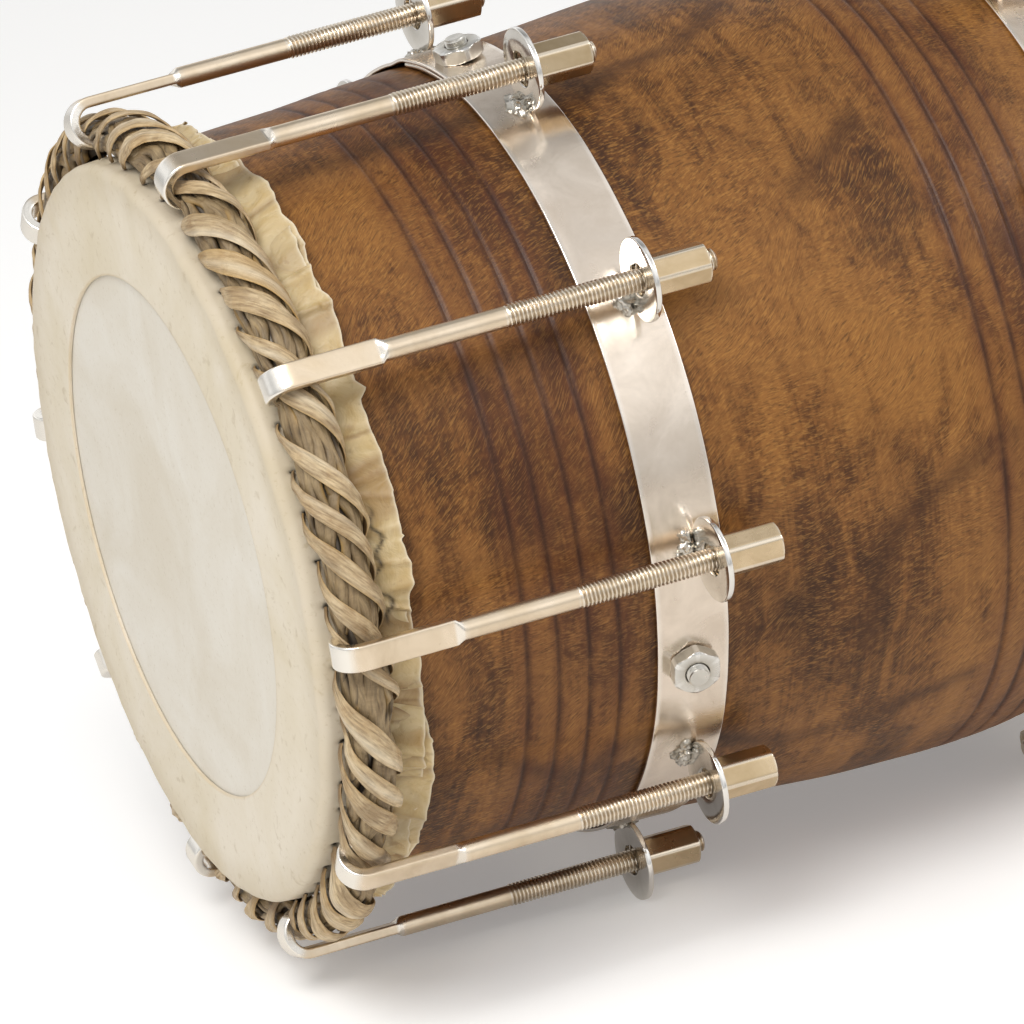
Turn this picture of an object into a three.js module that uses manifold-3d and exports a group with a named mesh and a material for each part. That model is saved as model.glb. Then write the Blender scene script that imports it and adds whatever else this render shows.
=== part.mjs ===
// Naal drum lying on its side: a hollow wooden barrel with a hide head at each
// end. Ten hook rods a head pull its hoop towards a steel band, and long nuts
// on washers welded to the band tighten them.
// Millimetres, +Z up. The barrel's axis lies along X with the bass head towards
// -X. The origin is on the floor, under the middle of the barrel.
import * as THREE from 'three';
import Module from 'manifold-3d';
import { mergeVertices } from 'three/addons/utils/BufferGeometryUtils.js';

const wasm = await Module();
wasm.setup();

// Fits and facets
const fitGap = 0.3;
const cutOverrun = 4;
const weldTolerance = 1e-4;
const roundFacets = 30;

// Barrel
const drumLength = 438;
const bassEndRadius = 124.6;
const trebleEndRadius = 106.2;
const bandSeatRadius = 133.8;
const bellyRadius = 141.3;
const bellyShare = 0.555;
const barrelWall = 11;
const bearingEdge = 3;
const outlineStep = 40;
const grooveWidth = 2.6;
const grooveDepth = 0.9;
const grooveSpacing = 10.6;
const groovesPerSet = 4;
const firstGroovesFromBassHead = 72;
const secondGroovesPastBelly = -1.5;

// Heads
const skinThickness = 1;
const rimSkinThickness = 1;
const rimCorner = 3.6;
const rimSkinWallDepth = 11;
const playingOpeningShare = 0.708;
const skirtStart = 23;
const skirtEnd = 35.5;
const skirtFlare = 5;
const tuningPatchRadius = 38;
const tuningPatchThickness = 1;

// Bands
const bandWidth = 25;
const bandThickness = 1.4;
const bandFromHead = 128.1;
const washerBehindBandMiddle = 3;
const washerRadius = 14.2;
const washerThickness = 2;
const washerHoleRadius = 5.4;
const washerFacets = 20;
const weldSink = 0.6;

// Hook rods
const rodsPerHead = 10;
const firstRodAngle = -18;
const hookDepth = 10.5;
const hookStandoff = 19.1;
const hookBendRadius = 6.9;
const hookTipLength = 2;
const barWidth = 8.7;
const barThickness = 3.6;
const barCorner = 0.8;
const barLength = 30;
const shankRadius = 3.5;
const threadRadius = 3.9;
const threadLength = 48;
const rodPastNutShares = [0.14, 0.13, 0.17, 0.07, -0.05, 0.15, 0.1, 0.16, 0.12, 0.15];
const hookBendSteps = 4;
const rodFacets = 8;

// Long nuts
const nutAcrossFlats = 13;
const nutLength = 21;
const nutBoreRadius = 4.6;

// Band bolts
const boltShankRadius = 3;
const boltHoleRadius = 3.8;
const boltHeadRadius = 7;
const boltHeadThickness = 3;
const boltNutAcrossFlats = 16;
const boltNutThickness = 5;
const boltEndLength = 2.4;
const boltEndChamfer = 0.8;
const boltsAfterRod = [1, 4, 7];

// Hoop, its strands and the strap wound round them, placed from the hook's bend
const hoopRingRadius = 2.8;
const hoopRingSeatAngle = 25;
const hoopFacets = 5;
const strandsFacets = 6;
const strandsBehindBend = 5.8;
const strandsDrop = 9.6;
const strandsHalfWidth = 3.9;
const strandsHalfHeight = 5;
const strapBehindBend = 2.6;
const strapDrop = 9.6;
const strapPathHalfWidth = 9.3;
const strapPathHalfHeight = 7.8;
const strapWidth = 5.4;
const strapThickness = 2.4;
const strapLoops = 19.5;
const strapStartsAtRod = 8;
const strapLoopsPerRod = 2;
const strapStartLoopShare = 0.25;
const strapLoopSteps = 12;

// Worked out from the sizes above
const degree = Math.PI / 180;
const rodPitch = 360 / rodsPerHead;
const skinDepth = rimSkinThickness + fitGap;
const shellSetback = skinDepth + skinThickness + fitGap;
const washerDepth = bandFromHead + washerBehindBandMiddle;
const bellyFromBassHead = bellyShare * drumLength;

// Materials
function finish(color, roughness, metalness) {
  return new THREE.MeshStandardMaterial({ color, roughness, metalness });
}
const lacqueredWood = finish('#6b4021', 0.3, 0);
const platedStrip = finish('#cfc6b6', 0.25, 1);
const rodSteel = finish('#b9a98c', 0.3, 1);
const nutBrass = finish('#b79b6e', 0.35, 1);
const zinc = finish('#b8bcb8', 0.4, 1);
const playingHide = finish('#ece4d0', 0.6, 0);
const rimHide = finish('#e6dcc0', 0.6, 0);
const rawhide = finish('#a58c6c', 0.75, 0);
const strandHide = finish('#7d6a50', 0.8, 0);
const ringSteel = finish('#77777a', 0.5, 1);
const tuningPaste = finish('#1b1a19', 0.7, 0);

// A closed body of shared corners, with its empty faces left out
function closedBody(geometry) {
  const bare = new THREE.BufferGeometry();
  bare.setAttribute('position', geometry.getAttribute('position'));
  bare.setIndex(geometry.getIndex());
  const merged = mergeVertices(bare, weldTolerance);
  const corners = merged.getIndex().array;
  const kept = [];
  for (let i = 0; i < corners.length; i += 3) {
    const [a, b, c] = corners.slice(i, i + 3);
    if (a !== b && b !== c && c !== a) kept.push(a, b, c);
  }
  merged.setIndex(kept);
  return merged;
}

function toSolid(geometry) {
  const body = closedBody(geometry);
  const vertProperties = new Float32Array(body.getAttribute('position').array);
  const triVerts = new Uint32Array(body.getIndex().array);
  return new wasm.Manifold(new wasm.Mesh({ numProp: 3, vertProperties, triVerts }));
}

function fromSolid(solid) {
  const mesh = solid.getMesh();
  const geometry = new THREE.BufferGeometry();
  geometry.setAttribute('position', new THREE.BufferAttribute(new Float32Array(mesh.vertProperties), 3));
  geometry.setIndex(Array.from(mesh.triVerts));
  return geometry;
}

// Joins rings of equal point counts into one closed tube with flat ends
function loft(rings) {
  const count = rings[0].length;
  const positions = rings.flat().flatMap((point) => [point.x, point.y, point.z]);
  const index = [];
  for (let ring = 0; ring < rings.length - 1; ring += 1) {
    for (let side = 0; side < count; side += 1) {
      const a = ring * count + side;
      const b = ring * count + ((side + 1) % count);
      index.push(a, b, a + count, b, b + count, a + count);
    }
  }
  const last = (rings.length - 1) * count;
  for (let side = 1; side < count - 1; side += 1) {
    index.push(0, side + 1, side);
    index.push(last, last + side, last + side + 1);
  }
  const geometry = new THREE.BufferGeometry();
  geometry.setAttribute('position', new THREE.Float32BufferAttribute(positions, 3));
  geometry.setIndex(index);
  return geometry;
}

// Turns a profile of [depth, radius] points round the X axis, with a corner at
// each rod. A profile that does not begin and end on the axis closes on itself.
function turned(profile, facets = roundFacets) {
  let area = 0;
  profile.forEach(([depth, radius], i) => {
    const [nextDepth, nextRadius] = profile[(i + 1) % profile.length];
    area += depth * nextRadius - nextDepth * radius;
  });
  const ordered = area > 0 ? [...profile].reverse() : [...profile];
  if (ordered[0][1] > 0) ordered.push(ordered[0]);
  const outline = ordered.map(([depth, radius]) => new THREE.Vector2(radius, depth));
  const lathe = new THREE.LatheGeometry(outline, facets, firstRodAngle * degree);
  return closedBody(lathe.rotateZ(-Math.PI / 2));
}

// Barrel outline

// The barrel's outer radius at a distance from the bass head's face: one smooth
// curve through the named stations
const outlineStations = [
  [0, bassEndRadius],
  [bandFromHead, bandSeatRadius],
  [bellyFromBassHead, bellyRadius],
  [drumLength - bandFromHead, bandSeatRadius],
  [drumLength, trebleEndRadius],
];

function stationSlope(i) {
  const before = outlineStations[Math.max(i - 1, 0)];
  const after = outlineStations[Math.min(i + 1, outlineStations.length - 1)];
  return (after[1] - before[1]) / (after[0] - before[0]);
}

function barrelRadius(along) {
  const last = outlineStations.length - 2;
  const found = outlineStations.findIndex(([place]) => place > along) - 1;
  const i = found < 0 ? last : found;
  const [startPlace, startRadius] = outlineStations[i];
  const [endPlace, endRadius] = outlineStations[i + 1];
  const run = endPlace - startPlace;
  const t = (along - startPlace) / run;
  const startPart = startRadius * (1 + 2 * t) + stationSlope(i) * run * t;
  const endPart = endRadius * (3 - 2 * t) - stationSlope(i + 1) * run * (1 - t);
  return startPart * (1 - t) ** 2 + endPart * t ** 2;
}

const bass = {
  name: 'bass',
  endRadius: bassEndRadius,
  radiusAt: (depth) => barrelRadius(depth),
};
const treble = {
  name: 'treble',
  endRadius: trebleEndRadius,
  radiusAt: (depth) => barrelRadius(drumLength - depth),
};

// The barrel is straight under each band
const heads = [bass, treble];
for (const head of heads) {
  head.bandFrontSeat = head.radiusAt(bandFromHead - bandWidth / 2);
  head.bandRearSeat = head.radiusAt(bandFromHead + bandWidth / 2);
  head.bandSlope = (head.bandRearSeat - head.bandFrontSeat) / bandWidth;
  head.bandTilt = Math.atan(head.bandSlope);
  head.bandMiddleSeat = (head.bandFrontSeat + head.bandRearSeat) / 2;
}

// The drum lies on its washers, so they stand equally far out at both ends
const washerSeats = heads.map((head) => head.bandMiddleSeat + head.bandSlope * washerBehindBandMiddle);
const leastSeat = Math.min(...washerSeats);
const washerCentreRadius = leastSeat + fitGap + bandThickness - weldSink + washerRadius;

// Place of the rods' line and of the hook's bend in each head
for (const head of heads) {
  const wallRadius = head.radiusAt(hookDepth) + 2 * fitGap + skinThickness + rimSkinThickness;
  head.hookRadius = wallRadius + hookStandoff;
  const rise = washerCentreRadius - head.hookRadius;
  head.hookReach = Math.hypot(washerDepth - hookDepth, rise);
  head.tilt = Math.atan2(rise, washerDepth - hookDepth);
  // From a place along and below the rod's line to [depth, radius]
  head.besideRod = (along, drop) => [
    hookDepth + along * Math.cos(head.tilt) + drop * Math.sin(head.tilt),
    head.hookRadius + along * Math.sin(head.tilt) - drop * Math.cos(head.tilt),
  ];
}

// Barrel

function boltAngles() {
  return boltsAfterRod.map((rod) => firstRodAngle + (rod - 0.5) * rodPitch);
}

// Moves a shape whose Z points out of the barrel onto the band's middle
function onBand(geometry, head, angle) {
  geometry.rotateY(-head.bandTilt);
  geometry.translate(bandFromHead, 0, head.bandMiddleSeat);
  return geometry.rotateX(angle * degree);
}

function boltHoles(head) {
  const inner = -barrelWall - cutOverrun;
  const outer = bandThickness + cutOverrun;
  return boltAngles().map((angle) => {
    const bar = new THREE.CylinderGeometry(boltHoleRadius, boltHoleRadius, outer - inner, rodFacets);
    bar.rotateX(Math.PI / 2);
    bar.translate(0, 0, (inner + outer) / 2);
    return onBand(bar, head, angle);
  });
}

function grooveCentres() {
  const centres = [];
  for (const start of [firstGroovesFromBassHead, bellyFromBassHead + secondGroovesPastBelly]) {
    for (let i = 0; i < groovesPerSet; i += 1) centres.push(start + i * grooveSpacing);
  }
  return centres;
}

// Where the bands' edges lie on the barrel, from the bass head's face
function bandEdges() {
  const edges = [bandFromHead - bandWidth / 2, bandFromHead + bandWidth / 2];
  return [...edges, ...edges.map((depth) => drumLength - depth)];
}

// The outline is straight under each band
function barrelProfile() {
  const grooves = grooveCentres();
  const edges = bandEdges();
  const from = shellSetback;
  const to = drumLength - shellSetback;
  const outer = edges.map((edge) => [edge, barrelRadius(edge)]);
  const steps = Math.round((to - from - 2 * bearingEdge) / outlineStep);
  for (let i = 0; i <= steps; i += 1) {
    const along = from + bearingEdge + ((to - from - 2 * bearingEdge) * i) / steps;
    const clearOfGrooves = grooves.every((centre) => Math.abs(along - centre) > grooveWidth);
    const clearOfBands = edges.every((edge) => Math.abs(along - edge) > bandWidth);
    if (clearOfGrooves && clearOfBands) outer.push([along, barrelRadius(along)]);
  }
  for (const centre of grooves) {
    const left = centre - grooveWidth / 2;
    const right = centre + grooveWidth / 2;
    outer.push([left, barrelRadius(left)]);
    outer.push([centre, barrelRadius(centre) - grooveDepth]);
    outer.push([right, barrelRadius(right)]);
  }
  outer.sort((a, b) => a[0] - b[0]);
  outer.unshift([from, barrelRadius(from) - bearingEdge]);
  outer.push([to, barrelRadius(to) - bearingEdge]);
  const inner = outlineStations.map(([place]) => {
    const along = Math.min(Math.max(place, from), to);
    return [along, barrelRadius(along) - barrelWall];
  });
  return [...outer, ...inner.reverse()];
}

function makeBarrel() {
  let shell = toSolid(turned(barrelProfile()));
  const trebleHoles = boltHoles(treble).map((hole) => hole.rotateZ(Math.PI).translate(drumLength, 0, 0));
  for (const hole of [...boltHoles(bass), ...trebleHoles]) shell = shell.subtract(toSolid(hole));
  return fromSolid(shell);
}

// Bands

// A plate of equal sides with a hole through it, standing across the X axis
function holedPlate(radius, sides, holeRadius, thickness) {
  const corners = (size, count) => Array.from({ length: count }, (_, i) => {
    const turn = (i + 0.5) * ((2 * Math.PI) / count);
    return new THREE.Vector2(size * Math.cos(turn), size * Math.sin(turn));
  });
  const outline = new THREE.Shape(corners(radius, sides));
  outline.holes.push(new THREE.Path(corners(holeRadius, rodFacets).reverse()));
  const plate = new THREE.ExtrudeGeometry(outline, { depth: thickness, bevelEnabled: false });
  return plate.rotateY(Math.PI / 2);
}

// A washer across the rod's line at the given turn
function washerDisc(head, angle) {
  const washer = holedPlate(washerRadius, washerFacets, washerHoleRadius, washerThickness);
  washer.translate(-washerThickness / 2, 0, 0);
  washer.rotateY(-head.tilt);
  washer.translate(washerDepth, 0, washerCentreRadius);
  return washer.rotateX(angle * degree);
}

function makeBand(head) {
  const front = bandFromHead - bandWidth / 2;
  const rear = bandFromHead + bandWidth / 2;
  const frontRadius = head.bandFrontSeat + fitGap;
  const rearRadius = head.bandRearSeat + fitGap;
  let band = toSolid(turned([
    [front, frontRadius],
    [front, frontRadius + bandThickness],
    [rear, rearRadius + bandThickness],
    [rear, rearRadius],
  ]));
  for (let rod = 0; rod < rodsPerHead; rod += 1) {
    const angle = firstRodAngle + rod * rodPitch;
    band = band.add(toSolid(washerDisc(head, angle)));
  }
  for (const hole of boltHoles(head)) band = band.subtract(toSolid(hole));
  return fromSolid(band);
}

// Bolt, its nut outside the band and its head inside the barrel. It stands in
// the middle of a facet, clear of the wall's slope.
function makeBandBolt(head) {
  const wallSlope = (bandSeatRadius - head.endRadius) / bandFromHead;
  const offSlope = Math.abs(wallSlope - Math.tan(head.bandTilt));
  const facetDrop = head.bandMiddleSeat * (1 - Math.cos(Math.PI / roundFacets));
  const wallDrop = facetDrop + boltHeadRadius * offSlope;
  const headFace = -barrelWall - boltHeadThickness - fitGap - wallDrop;
  const nutFace = bandThickness + 2 * fitGap - facetDrop;
  const shankEnd = nutFace + boltNutThickness + boltEndLength;
  const bolt = turned([
    [headFace, 0],
    [headFace, boltHeadRadius],
    [headFace + boltHeadThickness, boltHeadRadius],
    [headFace + boltHeadThickness, boltShankRadius],
    [shankEnd - boltEndChamfer, boltShankRadius],
    [shankEnd, boltShankRadius - boltEndChamfer],
    [shankEnd, 0],
  ], rodFacets);
  const nutCorner = boltNutAcrossFlats / Math.sqrt(3);
  const nut = new THREE.CylinderGeometry(nutCorner, nutCorner, boltNutThickness, 6);
  nut.rotateZ(-Math.PI / 2);
  nut.translate(nutFace + boltNutThickness / 2, 0, 0);
  const joined = fromSolid(toSolid(bolt).add(toSolid(nut)));
  return onBand(joined.rotateY(-Math.PI / 2), head, 0);
}

// Hook rods and nuts

// Section of the flat bar: a rectangle with its corners taken off
function barSection() {
  const halfWidth = barWidth / 2;
  const halfThickness = barThickness / 2;
  return [
    [halfWidth, halfThickness - barCorner],
    [halfWidth - barCorner, halfThickness],
    [barCorner - halfWidth, halfThickness],
    [-halfWidth, halfThickness - barCorner],
    [-halfWidth, barCorner - halfThickness],
    [barCorner - halfWidth, -halfThickness],
    [halfWidth - barCorner, -halfThickness],
    [halfWidth, barCorner - halfThickness],
  ];
}

function roundSection(radius) {
  const section = [];
  for (let i = 0; i < rodFacets; i += 1) {
    const turn = (i + 0.5) * ((2 * Math.PI) / rodFacets);
    section.push([radius * Math.cos(turn), radius * Math.sin(turn)]);
  }
  return section;
}

// The rod lies along X with its washer at the origin. The hook bends down.
function makeRod(head, pastNut) {
  const bendAt = -head.hookReach;
  const rings = [];
  const across = (section, along) => section.map(([side, up]) => new THREE.Vector3(along, side, up));
  const bend = (turn, beyond) => barSection().map(([side, up]) => {
    const reach = hookBendRadius + up;
    const along = bendAt - reach * Math.sin(turn) + beyond;
    return new THREE.Vector3(along, side, reach * Math.cos(turn) - hookBendRadius);
  });
  rings.push(bend(Math.PI, hookTipLength));
  for (let step = hookBendSteps; step > 0; step -= 1) {
    rings.push(bend((Math.PI * step) / hookBendSteps, 0));
  }
  const barEnd = bendAt + barLength;
  const threadStart = -threadLength;
  const rodEnd = washerThickness / 2 + fitGap + nutLength + pastNut;
  rings.push(across(barSection(), bendAt));
  rings.push(across(barSection(), barEnd));
  rings.push(across(roundSection(shankRadius), barEnd + shankRadius));
  rings.push(across(roundSection(shankRadius), threadStart));
  rings.push(across(roundSection(threadRadius), threadStart + threadRadius - shankRadius));
  rings.push(across(roundSection(threadRadius), rodEnd));
  return loft(rings);
}

function makeNut() {
  const nut = holedPlate(nutAcrossFlats / Math.sqrt(3), 6, nutBoreRadius, nutLength);
  nut.translate(washerThickness / 2 + fitGap, 0, 0);
  return closedBody(nut);
}

// Skins

function makeRimSkin(head) {
  const wall = (depth) => head.radiusAt(depth) + skinThickness + 2 * fitGap;
  const opening = (wall(0) + rimSkinThickness) * playingOpeningShare;
  const inside = skinDepth - fitGap;
  return turned([
    [0, opening],
    [0, wall(0) + rimSkinThickness - rimCorner],
    [rimCorner, wall(rimCorner) + rimSkinThickness],
    [rimSkinWallDepth, wall(rimSkinWallDepth) + rimSkinThickness],
    [rimSkinWallDepth, wall(rimSkinWallDepth)],
    [rimCorner, wall(rimCorner)],
    [inside, wall(inside) - rimCorner + rimSkinThickness],
    [inside, opening],
  ]);
}

function makeSkin(head) {
  const wall = (depth) => head.radiusAt(depth) + fitGap;
  const back = skinDepth + skinThickness;
  return turned([
    [skinDepth, 0],
    [skinDepth, wall(skinDepth) + skinThickness - bearingEdge],
    [skinDepth + bearingEdge, wall(skinDepth + bearingEdge) + skinThickness],
    [skirtStart, wall(skirtStart) + skinThickness],
    [skirtEnd, wall(skirtEnd) + skinThickness + skirtFlare],
    [skirtEnd, wall(skirtEnd) + skirtFlare],
    [skirtStart, wall(skirtStart)],
    [back + bearingEdge, wall(back + bearingEdge)],
    [back, wall(back) - bearingEdge],
    [back, 0],
  ]);
}

function makeTuningPatch() {
  const back = skinDepth - fitGap;
  return turned([
    [back - tuningPatchThickness, 0],
    [back - tuningPatchThickness, tuningPatchRadius],
    [back, tuningPatchRadius],
    [back, 0],
  ]);
}

// Hoop ring, strands and lacing strap

function oval(head, along, drop, halfWidth, halfHeight, facets) {
  const profile = [];
  for (let i = 0; i < facets; i += 1) {
    const turn = (i * 2 * Math.PI) / facets;
    const place = along + halfWidth * Math.cos(turn);
    profile.push(head.besideRod(place, drop + halfHeight * Math.sin(turn)));
  }
  return turned(profile);
}

function makeHoopRing(head) {
  const insideBend = (hookBendRadius - barThickness / 2) * Math.cos(Math.PI / (2 * hookBendSteps));
  const slack = insideBend - hoopRingRadius - fitGap;
  const along = -slack * Math.cos(hoopRingSeatAngle * degree);
  const drop = hookBendRadius + slack * Math.sin(hoopRingSeatAngle * degree);
  return oval(head, along, drop, hoopRingRadius, hoopRingRadius, hoopFacets);
}

function makeStrands(head) {
  return oval(head, strandsBehindBend, strandsDrop, strandsHalfWidth, strandsHalfHeight, strandsFacets);
}

// Whole loops cross the hoop's front a quarter of the way to the next hook
function strapAngle(loops) {
  const firstCrossing = strapStartsAtRod - 1 + 0.5 / strapLoopsPerRod;
  return (firstRodAngle + (firstCrossing + loops / strapLoopsPerRod) * rodPitch) * degree;
}

// A place on the strap's path, in loops from where it crosses the hoop's front
// midway between two hooks. It runs back outside the hoop.
function strapPoint(head, loops) {
  const turn = Math.PI - loops * 2 * Math.PI;
  const along = strapBehindBend + strapPathHalfWidth * Math.cos(turn);
  const drop = strapDrop - strapPathHalfHeight * Math.sin(turn);
  const [depth, radius] = head.besideRod(along, drop);
  const angle = strapAngle(loops);
  return new THREE.Vector3(depth, -radius * Math.sin(angle), radius * Math.cos(angle));
}

function strapOutward(head, loops) {
  const turn = Math.PI - loops * 2 * Math.PI;
  const side = Math.cos(turn) / strapPathHalfWidth;
  const up = Math.sin(turn) / strapPathHalfHeight;
  const size = Math.hypot(side, up);
  const origin = head.besideRod(0, 0);
  const moved = head.besideRod(side / size, -up / size);
  const angle = strapAngle(loops);
  const lift = moved[1] - origin[1];
  return new THREE.Vector3(moved[0] - origin[0], -lift * Math.sin(angle), lift * Math.cos(angle));
}

function strapRings(head) {
  const rings = [];
  const count = Math.round(strapLoops * strapLoopSteps);
  const nudge = 1 / (8 * strapLoopSteps);
  for (let i = 0; i <= count; i += 1) {
    const loops = strapStartLoopShare + i / strapLoopSteps;
    const centre = strapPoint(head, loops);
    const ahead = strapPoint(head, loops + nudge);
    const tangent = ahead.sub(strapPoint(head, loops - nudge)).normalize();
    const outward = strapOutward(head, loops);
    outward.addScaledVector(tangent, -outward.dot(tangent)).normalize();
    const across = new THREE.Vector3().crossVectors(outward, tangent);
    const corner = (side, up) => centre.clone()
      .addScaledVector(across, (side * strapWidth) / 2)
      .addScaledVector(outward, (up * strapThickness) / 2);
    rings.push([corner(-1, -1), corner(1, -1), corner(1, 1), corner(-1, 1)]);
  }
  return rings;
}

// Least distance between corners of rings that lie over half a loop apart
function leastSelfGap(rings) {
  let least = Infinity;
  for (let i = 0; i < rings.length; i += 1) {
    for (let j = i + strapLoopSteps / 2; j < rings.length; j += 1) {
      for (const a of rings[i]) {
        for (const b of rings[j]) least = Math.min(least, a.distanceTo(b));
      }
    }
  }
  return least;
}

function makeLacing(head) {
  const rings = strapRings(head);
  console.log(`${head.name}_lacing: least gap to itself ${leastSelfGap(rings).toFixed(1)} mm`);
  return loft(rings);
}

// Assembly

function addMesh(parent, name, geometry, material) {
  const mesh = new THREE.Mesh(geometry, material);
  mesh.name = name;
  parent.add(mesh);
  return mesh;
}

function addRodAndNut(parent, head, rod) {
  const station = new THREE.Group();
  station.rotation.x = (firstRodAngle + rod * rodPitch) * degree;
  const line = new THREE.Group();
  line.position.set(washerDepth, 0, washerCentreRadius);
  line.rotation.y = -head.tilt;
  const pastNut = rodPastNutShares[rod] * nutLength;
  addMesh(line, `${head.name}_rod_${rod + 1}`, makeRod(head, pastNut), rodSteel);
  addMesh(line, `${head.name}_nut_${rod + 1}`, makeNut(), nutBrass);
  station.add(line);
  parent.add(station);
}

// Everything that belongs to one head, in a frame whose X runs inwards from it
function makeHead(head) {
  const end = new THREE.Group();
  addMesh(end, `${head.name}_rim_skin`, makeRimSkin(head), rimHide);
  addMesh(end, `${head.name}_skin`, makeSkin(head), playingHide);
  addMesh(end, `${head.name}_hoop_ring`, makeHoopRing(head), ringSteel);
  addMesh(end, `${head.name}_hoop_strands`, makeStrands(head), strandHide);
  addMesh(end, `${head.name}_lacing`, makeLacing(head), rawhide);
  addMesh(end, `${head.name}_band`, makeBand(head), platedStrip);
  for (let rod = 0; rod < rodsPerHead; rod += 1) addRodAndNut(end, head, rod);
  boltAngles().forEach((angle, i) => {
    const bolt = addMesh(end, `${head.name}_band_bolt_${i + 1}`, makeBandBolt(head), zinc);
    bolt.rotation.x = angle * degree;
  });
  return end;
}

const drum = new THREE.Group();
const bassEnd = makeHead(bass);
bassEnd.position.x = -drumLength / 2;
const trebleEnd = makeHead(treble);
trebleEnd.position.x = drumLength / 2;
trebleEnd.rotation.z = Math.PI;
addMesh(trebleEnd, 'treble_tuning_patch', makeTuningPatch(), tuningPaste);
const barrel = addMesh(drum, 'barrel_shell', makeBarrel(), lacqueredWood);
barrel.position.x = -drumLength / 2;
drum.add(bassEnd, trebleEnd);

// It lies on the washers of its two lowest rods at each end
const reach = new THREE.Box3().setFromObject(drum, true);
drum.position.z = -reach.min.z;

const group = new THREE.Group();
group.add(drum);
export default group;
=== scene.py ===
"""Looks of a naal drum, built round its fixed frame.

Sizes are in millimetres, as a drum maker reads them, and meshes are made in metres.
A place on the drum is a depth behind a head's face, a radius from the barrel's axis
and an angle in degrees from straight up towards the near side.
"""

from __future__ import annotations

import logging
import math
from dataclasses import dataclass
from enum import Enum, IntEnum
from typing import Optional, Sequence

import bmesh
import bpy
import numpy as np
from mathutils import Matrix, Vector

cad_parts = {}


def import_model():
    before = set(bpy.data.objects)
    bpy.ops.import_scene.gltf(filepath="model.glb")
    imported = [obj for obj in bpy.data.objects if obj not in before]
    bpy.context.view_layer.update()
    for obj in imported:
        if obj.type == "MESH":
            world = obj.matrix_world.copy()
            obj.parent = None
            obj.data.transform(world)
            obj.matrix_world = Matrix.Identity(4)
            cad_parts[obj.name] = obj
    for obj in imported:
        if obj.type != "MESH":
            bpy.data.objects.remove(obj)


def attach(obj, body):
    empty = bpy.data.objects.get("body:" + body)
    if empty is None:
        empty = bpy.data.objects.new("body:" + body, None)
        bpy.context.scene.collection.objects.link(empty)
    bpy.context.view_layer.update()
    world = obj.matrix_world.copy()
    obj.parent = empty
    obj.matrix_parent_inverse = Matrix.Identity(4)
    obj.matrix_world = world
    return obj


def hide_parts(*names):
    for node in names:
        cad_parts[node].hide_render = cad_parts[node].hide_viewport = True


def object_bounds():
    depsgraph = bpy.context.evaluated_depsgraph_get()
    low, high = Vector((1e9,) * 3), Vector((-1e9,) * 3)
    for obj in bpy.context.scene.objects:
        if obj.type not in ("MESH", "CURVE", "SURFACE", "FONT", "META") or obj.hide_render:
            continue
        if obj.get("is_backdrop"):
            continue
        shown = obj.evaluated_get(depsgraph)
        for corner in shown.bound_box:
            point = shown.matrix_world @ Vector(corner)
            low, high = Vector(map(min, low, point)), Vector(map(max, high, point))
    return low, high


LOG = logging.getLogger("naal_drum")
MM = 0.001
FULL_TURN = 360.0
HALF_TURN = 180.0
ROOT = "drum"
MOST_TEARS = 400
STEEP_SHARE = 0.2
STEEP_RUN = 0.3
POINT = 0.01
Array = np.ndarray
Socket = bpy.types.NodeSocket


# Shared sizes and places


@dataclass(frozen=True)
class DrumForm:
    """Sizes that the pieces share, which are those of the frame."""

    length: float = 438.0
    bass_end_radius: float = 124.6
    treble_end_radius: float = 106.2
    band_seat_radius: float = 133.8
    belly_radius: float = 141.3
    belly_share: float = 0.555
    barrel_wall: float = 11.0
    band_from_head: float = 128.1
    band_width: float = 25.0
    band_thickness: float = 1.4
    washer_behind_middle: float = 3.0
    washer_radius: float = 14.2
    washer_thickness: float = 2.0
    weld_sink: float = 0.6
    hook_depth: float = 10.5
    hook_standoff: float = 19.1
    bend_radius: float = 6.9
    hide: float = 1.0
    fit: float = 0.3
    rods: int = 10
    first_rod: float = -18.0
    nut_length: float = 21.0

    @property
    def pitch(self) -> float:
        """Degrees from one rod to the next."""
        return FULL_TURN / self.rods

    @property
    def hide_depth(self) -> float:
        """Depth of the playing skin's front face."""
        return self.hide + self.fit

    @property
    def shell_setback(self) -> float:
        """Depth of the barrel's end."""
        return self.hide_depth + self.hide + self.fit

    def stations(self) -> tuple[Array, Array]:
        """The barrel's outline.

        Returns:
            Places along it from the bass head's face, and the radii there.
        """
        places = [0, self.band_from_head, self.belly_share * self.length]
        places += [self.length - self.band_from_head, self.length]
        radii = [self.bass_end_radius, self.band_seat_radius, self.belly_radius]
        radii += [self.band_seat_radius, self.treble_end_radius]
        return np.array(places, float), np.array(radii, float)

    def barrel_radius(self, along: Array | float) -> Array:
        """The barrel's outer radius.

        Args:
            along: Distances from the bass head's face.

        Returns:
            The radius at each.
        """
        x, r = self.stations()
        before = np.maximum(np.arange(len(x)) - 1, 0)
        after = np.minimum(np.arange(len(x)) + 1, len(x) - 1)
        slope = (r[after] - r[before]) / (x[after] - x[before])
        along = np.asarray(along, float)
        i = np.clip(np.searchsorted(x, along, side="right") - 1, 0, len(x) - 2)
        run = x[i + 1] - x[i]
        t = (along - x[i]) / run
        start = r[i] * (1 + 2 * t) + slope[i] * run * t
        end = r[i + 1] * (3 - 2 * t) - slope[i + 1] * run * (1 - t)
        return start * (1 - t) ** 2 + end * t**2


class End(Enum):
    """The drum's two ends."""

    BASS = "bass"
    TREBLE = "treble"


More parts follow.
